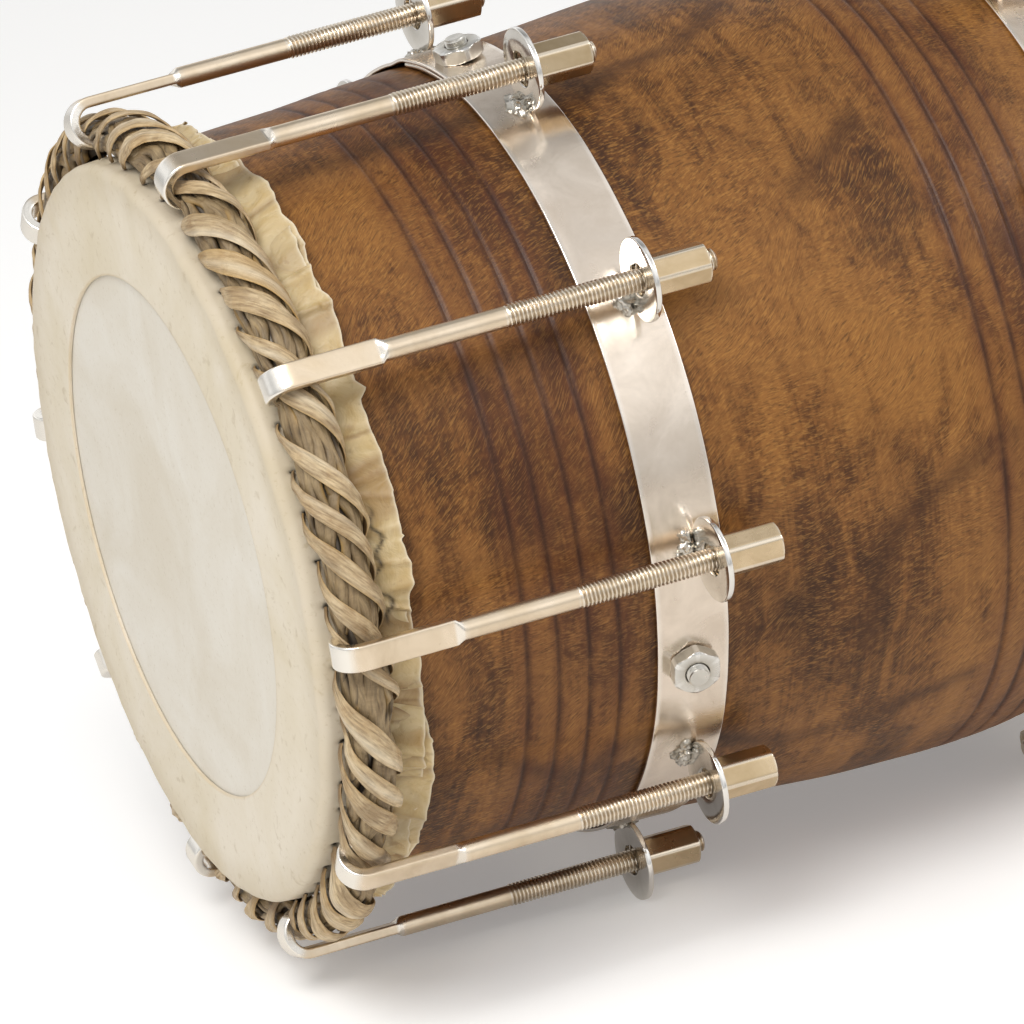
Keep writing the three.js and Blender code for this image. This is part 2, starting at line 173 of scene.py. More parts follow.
@dataclass(frozen=True)
class Head:
    """Places round one end of the drum."""

    form: DrumForm
    end: End
    axis_height: float

    @property
    def name(self) -> str:
        """The word that starts the names of this end's pieces."""
        return self.end.value

    @property
    def is_bass(self) -> bool:
        """Whether this is the bass head."""
        return self.end is End.BASS

    @property
    def side(self) -> float:
        """1 where depths run along the first axis of the row frame, and -1 where they run against it."""
        return 1.0 if self.is_bass else -1.0

    def radius_at(self, depth: Array | float) -> Array:
        """The barrel's outer radius at a depth behind this head."""
        depth = np.asarray(depth, float)
        return self.form.barrel_radius(depth if self.is_bass else self.form.length - depth)

    def band_seat(self, depth: Array | float) -> Array:
        """The barrel's radius under the band, where it is straight."""
        half = self.form.band_width / 2
        edges = np.array([self.form.band_from_head - half, self.form.band_from_head + half])
        seats = self.radius_at(edges)
        slope = (seats[1] - seats[0]) / self.form.band_width
        return seats[0] + (np.asarray(depth, float) - edges[0]) * slope

    @property
    def washer_depth(self) -> float:
        """Depth of the washers' middle."""
        return self.form.band_from_head + self.form.washer_behind_middle

    @property
    def washer_centre_radius(self) -> float:
        """Distance of the washers' centres from the axis, the same at both ends."""
        form = self.form
        seats = [float(Head(form, end, 0).band_seat(self.washer_depth)) for end in End]
        return min(seats) + form.fit + form.band_thickness - form.weld_sink + form.washer_radius

    @property
    def hook_radius(self) -> float:
        """Distance from the axis to the rods' line at the hooks."""
        form = self.form
        wall = float(self.radius_at(form.hook_depth)) + 2 * form.fit + 2 * form.hide
        return wall + form.hook_standoff

    @property
    def rod_run(self) -> tuple[float, float]:
        """The rods' run from hook to washer, along the axis and outwards."""
        return self.washer_depth - self.form.hook_depth, self.washer_centre_radius - self.hook_radius

    @property
    def hook_reach(self) -> float:
        """Distance from a hook's bend to its washer."""
        return math.hypot(*self.rod_run)

    @property
    def tilt(self) -> float:
        """Angle of the rods to the axis, in radians."""
        return math.atan2(self.rod_run[1], self.rod_run[0])

    def beside_rod(self, along: Array, drop: Array) -> tuple[Array, Array]:
        """Depth and radius of a place near a rod.

        Args:
            along: Distance behind the hook's bend along the rod.
            drop: Distance below the rod's line.

        Returns:
            The depths and the radii.
        """
        c, s = math.cos(self.tilt), math.sin(self.tilt)
        return self.form.hook_depth + along * c + drop * s, self.hook_radius + along * s - drop * c

    def place(self, depth: Array, radius: Array, angle: Array) -> Array:
        """Points of the row frame, in millimetres, from depth, radius and angle."""
        depth, radius, angle = np.broadcast_arrays(depth, radius, angle)
        turn = np.radians(angle)
        x = self.side * (depth - self.form.length / 2)
        y = -self.side * radius * np.sin(turn)
        return np.stack([x, y, radius * np.cos(turn) + self.axis_height], -1)

    def rod_angle(self, number: int) -> float:
        """Angle of a rod, counted from 1."""
        return self.form.first_rod + (number - 1) * self.form.pitch

    def stand(self, depth: float, radius: float, angle: float, tilt: float) -> Array:
        """A frame on the drum.

        Args:
            depth: Its origin's depth.
            radius: Its origin's radius.
            angle: Its origin's angle.
            tilt: How far its first axis, which runs inwards, leans outwards, in radians.

        Returns:
            A 4 x 4 matrix whose third axis points outwards.
        """
        turn = math.radians(angle)
        outward = np.array([0, -self.side * math.sin(turn), math.cos(turn)])
        inward = np.array([self.side, 0, 0])
        along = math.cos(tilt) * inward + math.sin(tilt) * outward
        up = math.cos(tilt) * outward - math.sin(tilt) * inward
        matrix = np.eye(4)
        matrix[:3, 0], matrix[:3, 1], matrix[:3, 2] = along, np.cross(up, along), up
        matrix[:3, 3] = self.place(np.array(depth), np.array(radius), np.array(angle))
        return matrix

    def rod_frame(self, number: int) -> Array:
        """The frame of a rod, with its origin at the washer's centre."""
        angle = self.rod_angle(number)
        return self.stand(self.washer_depth, self.washer_centre_radius, angle, self.tilt)

    def from_nearest_rod(self, angle: Array) -> Array:
        """Degrees to the nearest rod."""
        offset = (np.asarray(angle) - self.form.first_rod) % self.form.pitch
        return np.minimum(offset, self.form.pitch - offset)


# Smooth random shapes, the same on each run


class Seed(IntEnum):
    """First seed of each random shape.

    What comes in numbers adds its number to it. The creases and clouds of a strap add theirs to the strap's.
    """

    TURNING = 3
    BASS_DENTS = 15
    TREBLE_DENTS = 17
    WASHERS = 21
    WELDS = 31
    HOLES = 41
    RIM_FACE = 51
    SKIRT_TEARS = 61
    SKIRT_EDGE = 62
    SKIRT_NICKS = 72
    SKIRT_CRINKLE = 82
    SKIRT_FLARE = 92
    SKIRT_CLOUDS = 97
    INK = 99
    BASS_RODS = 100
    TREBLE_RODS = 150
    PASTE_EDGE = 101
    PASTE_FACE = 102
    BUNDLE = 105
    STRAND_PATH = 110
    STRAND_SIZE = 130
    STRAND_LEAN = 140
    STRAND_EDGE = 150
    STRAND_CLOUDS = 160
    BASS_STRAPS = 200
    TREBLE_STRAPS = 300
    STRAP_CREASES = 7
    STRAP_CLOUDS = 9


class Wander:
    """A smooth random wave round the drum."""

    def __init__(self, seed: int, size: float, slowest: int, fastest: int) -> None:
        """Draws the wave.

        Args:
            seed: Seed of its draws.
            size: About how far it strays.
            slowest: Least number of waves in a turn.
            fastest: Greatest number of waves in a turn.
        """
        rng = np.random.default_rng(seed)
        self.waves = np.arange(slowest, fastest + 1)
        self.phase = rng.uniform(0, 2 * np.pi, len(self.waves))
        weight = rng.normal(size=len(self.waves)) / np.sqrt(self.waves / slowest)
        self.weight = weight * size / np.sqrt((weight**2).sum() / 2)

    def __call__(self, angle: Array) -> Array:
        """The wave at each angle in degrees."""
        turn = np.radians(np.asarray(angle, float))[..., None]
        return (self.weight * np.cos(turn * self.waves + self.phase)).sum(-1)


class Ripple:
    """A smooth random surface over two directions, in millimetres."""

    WAVES = 14

    def __init__(self, seed: int, size: float, shortest: float, longest: float) -> None:
        """Draws the waves.

        Args:
            seed: Seed of its draws.
            size: About how far it strays.
            shortest: Shortest wavelength.
            longest: Longest wavelength.
        """
        rng = np.random.default_rng(seed)
        length = np.exp(rng.uniform(np.log(shortest), np.log(longest), self.WAVES))
        heading = rng.uniform(0, 2 * np.pi, self.WAVES)
        self.wave = 2 * np.pi / length * np.array([np.cos(heading), np.sin(heading)])
        self.phase = rng.uniform(0, 2 * np.pi, self.WAVES)
        self.size = size * math.sqrt(2 / self.WAVES)

    def __call__(self, u: Array, v: Array) -> Array:
        """The surface's height at each pair of places."""
        u, v = np.broadcast_arrays(u, v)
        turn = u[..., None] * self.wave[0] + v[..., None] * self.wave[1] + self.phase
        return self.size * np.cos(turn).sum(-1)


def eased(value: Array | float, low: float, high: float) -> Array:
    """A smooth step from 0 at low to 1 at high."""
    t = np.clip((np.asarray(value, float) - low) / (high - low), 0, 1)
    return t * t * (3 - 2 * t)


def bell(value: Array, width: float) -> Array:
    """A smooth hump of height 1 at 0."""
    return np.exp(-((np.asarray(value, float) / width) ** 2))


def angles_round(count: int) -> Array:
    """Evenly spread angles of a full turn, in degrees."""
    return np.linspace(0, FULL_TURN, count, endpoint=False)


def circle(count: int) -> Array:
    """Evenly spread angles of a full turn, in radians."""
    return np.linspace(0, 2 * np.pi, count, endpoint=False)


def degrees_apart(angle: Array, other: Array | float) -> Array:
    """How far angles are from each other, in degrees."""
    return np.abs((angle - other + HALF_TURN) % FULL_TURN - HALF_TURN)


def squared_circle(turn: Array, power: float) -> tuple[Array, Array]:
    """A circle pressed towards a square.

    Args:
        turn: Angles round it, in radians.
        power: 1 for a circle, and less for a squarer one.

    Returns:
        The places across and up, from -1 to 1.
    """
    x, y = np.cos(turn), np.sin(turn)
    return np.sign(x) * np.abs(x) ** power, np.sign(y) * np.abs(y) ** power


def smooth_path(knots: Sequence[Sequence[float]], count: int) -> Array:
    """A smooth line through the knots.

    Args:
        knots: Places that it passes.
        count: Number of points on it.

    Returns:
        The points, evenly spread between the knots.
    """
    knot = np.array(knots, float)
    padded = np.vstack([2 * knot[0] - knot[1], knot, 2 * knot[-1] - knot[-2]])
    t = np.linspace(0, len(knot) - 1, count)
    i = np.minimum(t.astype(int), len(knot) - 2)
    f = (t - i)[:, None]
    a, b, c, d = (padded[i + n] for n in range(4))
    second = 2 * a - 5 * b + 4 * c - d
    third = 3 * b - a - 3 * c + d
    return 0.5 * (2 * b + (c - a) * f + second * f**2 + third * f**3)


def torn(rng: np.random.Generator, angle: Array, size: float, longest: float) -> Array:
    """A line of straight runs with sharp corners, as hide tears.

    Args:
        rng: Source of its draws.
        angle: Angles round the drum.
        size: How far it strays.
        longest: Longest run in degrees.

    Returns:
        Its height at each angle.
    """
    steep = rng.uniform(size=MOST_TEARS) < STEEP_SHARE
    runs = np.where(steep, STEEP_RUN, rng.uniform(0.2 * longest, longest, MOST_TEARS))
    knots = np.cumsum(runs)
    knots = knots[knots < FULL_TURN - 1]
    return np.interp(angle, knots, rng.uniform(-size, size, len(knots)), period=FULL_TURN)


# Meshes


class Surface:
    """Grids of points in millimetres, gathered into one mesh."""

    def __init__(self) -> None:
        """Starts an empty surface."""
        self.points: list[Array] = []
        self.faces: list[Array] = []
        self.marks: dict[str, list[tuple[int, Array]]] = {}
        self.count = 0

    def grid(self, points: Array, wrap_rows: bool = False, caps: bool = False, **marks: Array) -> None:
        """Adds a grid of four-sided faces, whose last column joins the first.

        Args:
            points: Rows by columns by 3.
            wrap_rows: Whether the last row joins the first too.
            caps: Whether the first and last row are closed with a flat face.
            marks: Values for each point that the finishes read by name.
        """
        rows, cols = points.shape[:2]
        index = self.count + np.arange(rows * cols).reshape(rows, cols)
        self.points.append(points.reshape(-1, 3))
        for name, values in marks.items():
            full = np.broadcast_to(values, (rows, cols)).ravel()
            self.marks.setdefault(name, []).append((self.count, full))
        self.count += rows * cols
        down = np.roll(index, -1, 0) if wrap_rows else index[1:]
        here = index if wrap_rows else index[:-1]
        across = np.roll(here, -1, 1)
        corner = np.roll(down, -1, 1)
        quads = np.stack([here, across, corner, down], -1)
        self.faces.append(quads.reshape(-1, 4))
        if caps:
            self.faces += [index[:1, ::-1], index[-1:]]

    def build(self, name: str, finish: bpy.types.Material, sharp: float = 40.0) -> bpy.types.Object:
        """Makes the object.

        Args:
            name: Its name.
            finish: Its material.
            sharp: Angle in degrees above which an edge is sharp.

        Returns:
            The new object, linked to the scene.
        """
        mesh = bpy.data.meshes.new(name)
        sizes = np.concatenate([np.full(len(f), f.shape[1]) for f in self.faces])
        corners = np.concatenate([f.ravel() for f in self.faces])
        mesh.vertices.add(self.count)
        places = np.concatenate(self.points) * MM
        mesh.vertices.foreach_set("co", places.ravel().astype(np.float32))
        mesh.loops.add(len(corners))
        mesh.loops.foreach_set("vertex_index", corners.astype(np.int32))
        mesh.polygons.add(len(sizes))
        starts = np.concatenate([[0], np.cumsum(sizes)[:-1]])
        mesh.polygons.foreach_set("loop_start", starts.astype(np.int32))
        mesh.polygons.foreach_set("loop_total", sizes.astype(np.int32))
        mesh.update(calc_edges=True)
        mesh.validate()
        shaped = bmesh.new()
        shaped.from_mesh(mesh)
        bmesh.ops.recalc_face_normals(shaped, faces=shaped.faces)
        shaped.to_mesh(mesh)
        shaped.free()
        mesh.shade_smooth()
        mesh.set_sharp_from_angle(angle=math.radians(sharp))
        for mark, parts in self.marks.items():
            values = np.zeros(self.count, np.float32)
            for start, part in parts:
                values[start:start + len(part)] = part
            mesh.attributes.new(mark, "FLOAT", "POINT").data.foreach_set("value", values)
        mesh.materials.append(finish)
        piece = bpy.data.objects.new(name, mesh)
        bpy.context.scene.collection.objects.link(piece)
        LOG.info("%s: %d points, %d faces", name, self.count, len(sizes))
        return piece


def moved(matrix: Array, points: Array) -> Array:
    """Points carried from a frame on the drum to the row frame."""
    return points @ matrix[:3, :3].T + matrix[:3, 3]


def lathe(profile: Sequence[Sequence[float]], sides: int) -> Array:
    """Turns a profile round the first axis.

    Args:
        profile: Pairs of place along the axis and radius.
        sides: Number of points round.

    Returns:
        Rows by sides by 3.
    """
    line = np.array(profile, float)
    turn = circle(sides)
    x = np.repeat(line[:, :1], sides, 1)
    return np.stack([x, line[:, 1:] * np.cos(turn), line[:, 1:] * np.sin(turn)], -1)


def rounded_slab(start: float, end: float, low: float, high: float, corner: float) -> Array:
    """A closed outline of a slab with rounded corners.

    Args:
        start: Least place along the first direction.
        end: Greatest place along it.
        low: Least place along the second direction.
        high: Greatest place along it.
        corner: Radius of the corners.

    Returns:
        Its points in order.
    """
    outline = []
    centres = [(end - corner, high - corner, 0), (start + corner, high - corner, 90),
               (start + corner, low + corner, 180), (end - corner, low + corner, 270)]
    for x, y, first in centres:
        for step in (0, 30, 60, 90):
            turn = math.radians(first + step)
            outline.append((x + corner * math.cos(turn), y + corner * math.sin(turn)))
    return np.array(outline)


def settle(piece: bpy.types.Object, body: str, slot: str, *nodes: str) -> None:
    """Fixes a finished piece to its body.

    Args:
        piece: The piece.
        body: The body that it moves with.
        slot: The record's material slot; not used.
        nodes: The frame's nodes that it stands for.
    """
    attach(piece, body)
    if nodes:
        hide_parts(*nodes)


# Finishes


def linear(code: str, alpha: float = 1.0) -> tuple[float, float, float, float]:
    """A colour written as in a paint list, such as #a07040, in linear light."""
    parts = [int(code[i:i + 2], 16) / 255 for i in (1, 3, 5)]
    red, green, blue = (p / 12.92 if p <= 0.04045 else ((p + 0.055) / 1.055) ** 2.4 for p in parts)
    return red, green, blue, alpha


class Wiring:
    """A tree of nodes, wired by plain calls."""

    def __init__(self, tree: bpy.types.NodeTree, place: str) -> None:
        """Starts from a tree.

        Args:
            tree: The tree.
            place: The coordinates that its patterns read.
        """
        self.tree = tree
        self.place = self.node("ShaderNodeTexCoord").outputs[place]

    def node(self, kind: str, inputs: Optional[dict] = None, **settings: object) -> bpy.types.Node:
        """Adds a node.

        Args:
            kind: Its type.
            inputs: Values or sockets for its inputs, by name or number.
            settings: Its settings.

        Returns:
            The node.
        """
        made = self.tree.nodes.new(kind)
        for key, value in settings.items():
            setattr(made, key, value)
        for key, value in (inputs or {}).items():
            self.feed(made.inputs[key], value)
        return made

    def feed(self, socket: Socket, value: object) -> None:
        """Links a socket's value, or sets it where the value is plain."""
        if isinstance(value, bpy.types.NodeSocket):
            self.tree.links.new(value, socket)
        else:
            socket.default_value = value

    def calc(self, operation: str, first: Socket | float, second: Socket | float) -> Socket:
        """Arithmetic on two values."""
        return self.node("ShaderNodeMath", {0: first, 1: second}, operation=operation).outputs[0]

    def plus(self, first: Socket | float, second: Socket | float) -> Socket:
        """The sum of two values."""
        return self.calc("ADD", first, second)

    def minus(self, first: Socket | float, second: Socket | float) -> Socket:
        """The difference of two values."""
        return self.calc("SUBTRACT", first, second)

    def times(self, first: Socket | float, second: Socket | float) -> Socket:
        """The product of two values."""
        return self.calc("MULTIPLY", first, second)

    def part(self, axis: str) -> Socket:
        """The place along one axis."""
        return self.node("ShaderNodeSeparateXYZ", {0: self.place}).outputs[axis]

    def stretched(self, place: Socket, scale: tuple[float, float, float]) -> Socket:
        """A place, stretched along the axes."""
        return self.node("ShaderNodeMapping", {"Vector": place, "Scale": scale}).outputs["Vector"]

    def noise(self, scale: float, detail: float = 3.0, rough: float = 0.55,
              stretch: Optional[tuple[float, float, float]] = None, warp: float = 0.0,
              place: Optional[Socket] = None) -> Socket:
        """A cloudy pattern.

        Args:
            scale: Clouds in a metre.
            detail: Octaves of finer clouds.
            rough: Strength of the finer clouds.
            stretch: Factors on the scale along the axes.
            warp: How much the pattern twists.
            place: Where it is read, if that is not the place itself.

        Returns:
            A value about 0.5.
        """
        place = self.place if place is None else place
        place = self.stretched(place, stretch) if stretch else place
        inputs = {"Vector": place, "Scale": scale, "Detail": detail, "Roughness": rough, "Distortion": warp}
        return self.node("ShaderNodeTexNoise", inputs).outputs["Fac"]

    def span(self, value: Socket, low: float, high: float, to_low: float = 0.0, to_high: float = 1.0,
             smooth: bool = False) -> Socket:
        """A value moved from one range to another and kept inside it."""
        inputs = {"Value": value, "From Min": low, "From Max": high, "To Min": to_low, "To Max": to_high}
        steps = "SMOOTHSTEP" if smooth else "LINEAR"
        return self.node("ShaderNodeMapRange", inputs, interpolation_type=steps, clamp=True).outputs["Result"]

    def mixed(self, share: Socket | float, first: object, second: object) -> Socket:
        """Two colours mixed.

        Args:
            share: Share of the second.
            first: The first colour, as a socket or written as in a paint list.
            second: The second colour.

        Returns:
            The colour.
        """
        first, second = (linear(colour) if isinstance(colour, str) else colour for colour in (first, second))
        return self.node("ShaderNodeMix", {0: share, 6: first, 7: second}, data_type="RGBA").outputs[2]


class Shader(Wiring):
    """One material while its nodes are wired."""

    SWIRLS = 13
    FIBRE_STRETCH = 0.13

    def __init__(self, name: str) -> None:
        """Makes the material with its principled shader."""
        self.material = bpy.data.materials.new(name)
        self.material.use_nodes = True
        super().__init__(self.material.node_tree, "Object")
        self.principled = self.tree.nodes["Principled BSDF"]

    def set(self, **inputs: object) -> None:
        """Feeds the principled shader's sockets, with _ for a space in their names."""
        for key, value in inputs.items():
            self.feed(self.principled.inputs[key.replace("_", " ")], value)

    def mark(self, name: str) -> Socket:
        """A value stored on the mesh's points."""
        return self.node("ShaderNodeAttribute", attribute_name=name).outputs["Fac"]

    def marked(self, name: str, strength: Socket | float, colour: Socket, tint: str) -> Socket:
        """A colour, tinted where the mesh is marked.

        Args:
            name: The mark.
            strength: Share of the tint where the mark is 1.
            colour: The colour.
            tint: The tint.

        Returns:
            The tinted colour.
        """
        return self.mixed(self.times(self.mark(name), strength), colour, tint)

    def twisted(self, rate: float, swirl: float, axis_height: float) -> Socket:
        """The place, turned about the drum's axis ever further along it.

        Args:
            rate: Radians in a metre.
            swirl: How much the turn strays.
            axis_height: Height of the axis in metres.

        Returns:
            The turned place.
        """
        stray = self.times(self.noise(self.SWIRLS, 2), swirl)
        turn = self.plus(self.times(self.part("X"), rate), stray)
        inputs = {"Vector": self.place, "Center": (0.0, 0.0, axis_height), "Angle": turn}
        return self.node("ShaderNodeVectorRotate", inputs, rotation_type="X_AXIS").outputs["Vector"]

    def streaks(self, scale: float) -> Socket:
        """Fibres that run lengthwise on a strip, by its marks for the places along and across it."""
        along = self.times(self.mark("lengthwise"), self.FIBRE_STRETCH * MM)
        across = self.times(self.mark("crosswise"), MM)
        place = self.node("ShaderNodeCombineXYZ", {"X": along, "Y": across}).outputs["Vector"]
        return self.noise(scale, 4, 0.6, place=place)

    def ramp(self, value: Socket, *stops: tuple[float, str]) -> Socket:
        """Colours spread over a value.

        Args:
            value: The value.
            stops: Pairs of value and colour, in order.

        Returns:
            The colour.
        """
        made = self.node("ShaderNodeValToRGB", {"Fac": value})
        elements = made.color_ramp.elements
        while len(elements) < len(stops):
            elements.new(0.5)
        for element, (at, code) in zip(elements, stops):
            element.position = at
            element.color = linear(code)
        return made.outputs["Color"]

    def bump(self, height: Socket, relief: float, below: Optional[Socket] = None) -> Socket:
        """Relief in the surface.

        Args:
            height: A value from 0 to 1.
            relief: Height of 1, in millimetres.
            below: Normal of the relief under it.

        Returns:
            The normal.
        """
        inputs = {"Strength": 1.0, "Distance": relief * MM, "Height": height}
        if below is not None:
            inputs["Normal"] = below
        return self.node("ShaderNodeBump", inputs).outputs["Normal"]


@dataclass(frozen=True)
class LacqueredWood:
    """Figured hardwood, turned, stained and lacquered."""

    axis_height: float
    dark: str = "#3d220e"
    brown: str = "#593617"
    warm: str = "#754b22"
    gold: str = "#86592a"
    groove: str = "#2b150b"
    stained: str = "#512815"
    fleck: str = "#34200f"
    shine: str = "#ae7d40"
    bare: str = "#8a6238"
    darker_end: tuple[float, float] = (-0.17, -0.03)
    slants: tuple[tuple[float, float], ...] = ((6.0, 0.3), (1.5, 0.25))
    fine: tuple[float, float, float] = (0.2, 1.0, 1.0)
    finer: tuple[float, float, float] = (0.24, 1.0, 1.13)

    def fibres(self, s: Shader, colour: Socket, slant: tuple[float, float],
               share: Socket) -> tuple[Socket, Socket]:
        """Lays fine fibres and pores of one direction over a colour.

        Args:
            s: The shader.
            colour: The colour under them.
            slant: Their slant in radians in a metre, and how much they stray.
            share: Where they are seen.

        Returns:
            The colour and the pores' pattern.
        """
        place = s.twisted(*slant, self.axis_height)
        pore = s.noise(1700, 2, 0.6, self.fine, 0.0, place)
        pale = s.noise(1500, 2, 0.6, self.finer, 0.0, place)
        colour = s.mixed(s.times(s.span(pale, 0.5, 0.64, 0.0, 0.36), share), colour, self.shine)
        colour = s.mixed(s.times(s.span(pore, 0.5, 0.68, 0.0, 0.56), share), colour, self.fleck)
        return colour, pore

    def tone(self, s: Shader, turned: Socket) -> Socket:
        """How pale the wood is, by its figure, curl and mottle, with a darker end.

        Args:
            s: The shader.
            turned: Pattern of the lines left by turning.

        Returns:
            A value about 0.5.
        """
        figure = s.times(s.noise(11, 3, 0.5, (1.0, 0.8, 0.8), 0.6), 0.52)
        curl = s.times(s.noise(70, 3, 0.55, (1.0, 0.3, 0.3), 1.0), 0.34)
        mottle = s.times(s.noise(210, 3, 0.65, None, 0.5), 0.22)
        tone = s.minus(s.plus(s.plus(figure, curl), mottle), 0.05)
        tone = s.plus(tone, s.span(turned, 0.3, 0.7, -0.02, 0.02))
        return s.plus(tone, s.span(s.part("X"), *self.darker_end, -0.03, 0.012))

    def build(self) -> bpy.types.Material:
        """Makes the material."""
        s = Shader("lacquered_wood")
        turned = s.noise(1000, 2, 0.5, (1.0, 0.012, 0.012))
        stops = (0.4, self.dark), (0.465, self.brown), (0.52, self.warm), (0.59, self.gold)
        colour = s.ramp(self.tone(s, turned), *stops)
        steep = s.span(s.noise(17, 2), 0.42, 0.56)
        colour, pore = self.fibres(s, colour, self.slants[0], steep)
        colour, _ = self.fibres(s, colour, self.slants[1], s.minus(1.0, steep))
        worn = s.span(s.noise(60, 3), 0.3, 0.6, 0.45, 1.0)
        for mark, strength, tint in (("vein", 0.75, self.dark), ("stained", 0.55, self.stained),
                                     ("groove", 0.8, self.groove)):
            colour = s.marked(mark, s.times(worn, strength), colour, tint)
        colour = s.mixed(s.mark("inside"), colour, self.bare)
        relief = s.bump(turned, 0.02, s.bump(pore, 0.05))
        s.set(Base_Color=colour, Roughness=s.span(pore, 0.3, 0.7, 0.4, 0.56), Normal=relief)
        s.set(Specular_IOR_Level=0.22, Coat_Weight=0.08, Coat_Roughness=0.22)
        return s.material


@dataclass(frozen=True)
class Plate:
    """Nickel plate of a given tint and polish."""

    name: str
    tint: str
    dull: str
    bright: str
    smooth: float
    rough: float
    relief: float = 0.02
    recess_shade_tint: str = "#4b3f2c"
    heated: tuple[tuple[float, str], ...] = ((0.15, "#b8a06c"), (0.5, "#7d5f34"), (0.9, "#4a4038"))

    def build(self) -> bpy.types.Material:
        """Makes the material."""
        s = Shader(self.name)
        cloud = s.noise(55, 4, 0.6, None, 0.5)
        speck = s.noise(900, 2, 0.6)
        colour = s.mixed(s.span(cloud, 0.35, 0.7), self.tint, self.dull)
        colour = s.mixed(s.span(speck, 0.66, 0.78, 0.0, 0.5), colour, self.dull)
        colour = s.mixed(s.mark("heat"), colour, s.ramp(s.mark("heat"), *self.heated))
        # Painted shade in recesses: the thread's roots and the mouths of nut bores.
        colour = s.mixed(s.mark("dirt"), colour, self.recess_shade_tint)
        # Painted shine: a lighter tint for highlights on edges, crests, bends and weld tops, with lower
        # roughness below as polish. The bolts get a little all over.
        colour = s.mixed(s.mark("bright"), colour, self.bright)
        polish = s.span(cloud, 0.3, 0.7, self.smooth, self.rough)
        polish = s.minus(polish, s.times(s.mark("bright"), self.smooth * 0.5))
        s.set(Base_Color=colour, Metallic=1.0, Roughness=polish)
        s.set(Normal=s.bump(speck, self.relief, s.bump(cloud, self.relief * 8)))
        return s.material


@dataclass(frozen=True)
class Hide:
    """Bare or dried hide of a given colour."""

    name: str
    pale: str
    tan: str
    stain_and_shade: str
    grain: float
    relief: float
    rough: float = 0.55
    clear: float = 0.0
    fibrous: bool = False
    cloud: float = 18.0
    crumple: float = 0.08
    spots: float = 0.0
    streak: float = 0.75
    ink_and_shade: str = "#1d150d"
    amber: str = "#bf9a5c"
    painted_highlight: str = "#e9dfc8"
    glow: tuple[float, float, float] = (0.004, 0.003, 0.0015)

    def build(self) -> bpy.types.Material:
        """Makes the material."""
        s = Shader(self.name)
        cloud = s.noise(self.cloud, 4, 0.6, None, 0.8)
        fine = s.streaks(self.grain) if self.fibrous else s.noise(self.grain, 4, 0.65)
        colour = s.mixed(s.span(cloud, 0.35, 0.68), self.pale, self.tan)
        low, high, most = (0.42, 0.68, self.streak) if self.fibrous else (0.6, 0.78, 0.5)
        colour = s.mixed(s.span(fine, low, high, 0.0, most), colour, self.stain_and_shade)
        spots = s.span(s.noise(150, 3, 0.6, None, 0.5), 0.62, 0.72, 0.0, self.spots)
        colour = s.mixed(spots, colour, self.stain_and_shade)
        # Painted shade: the shade mark darkens creases, gaps, undersides and deep strands. It also carries
        # real cloudy tone, the rim's tan edge and the straps' darker ends.
        colour = s.marked("shade", 0.9, colour, self.stain_and_shade)
        # The hole mark is painted shade in the rim's lacing holes and the bundle's core, and real ink and
        # smudges elsewhere. The pale mark is a painted highlight on the skirt's torn edge and along the
        # straps. Amber is the hide's own edge colour.
        for mark, tint in (("hole", self.ink_and_shade), ("amber", self.amber), ("pale", self.painted_highlight)):
            colour = s.mixed(s.mark(mark), colour, tint)
        s.set(Base_Color=colour, Roughness=s.span(fine, 0.3, 0.7, self.rough - 0.08, self.rough + 0.08))
        s.set(Normal=s.bump(fine, self.relief, s.bump(cloud, self.crumple)))
        if self.clear:
            s.set(Subsurface_Weight=self.clear, Subsurface_Radius=self.glow, Subsurface_Scale=1.0)
        return s.material


@dataclass(frozen=True)
class TuningPaste:
    """Black tuning paste, laid on in rubbed layers."""

    cracked: str = "#0d0c0c"
    dark: str = "#171616"
    rubbed: str = "#2b2a29"
    crackles: float = 420.0

    def build(self) -> bpy.types.Material:
        """Makes the material."""
        s = Shader("tuning_paste")
        inputs = {"Vector": s.place, "Scale": self.crackles}
        crackle = s.node("ShaderNodeTexVoronoi", inputs, feature="DISTANCE_TO_EDGE")
        line = s.span(crackle.outputs["Distance"], 0.0, 0.12)
        fine = s.noise(1400, 3)
        grain = s.ramp(fine, (0.3, self.dark), (0.7, self.rubbed))
        s.set(Base_Color=s.mixed(line, self.cracked, grain))
        s.set(Roughness=s.span(fine, 0.3, 0.7, 0.55, 0.8), Normal=s.bump(fine, 0.05, s.bump(line, 0.08)))
        return s.material


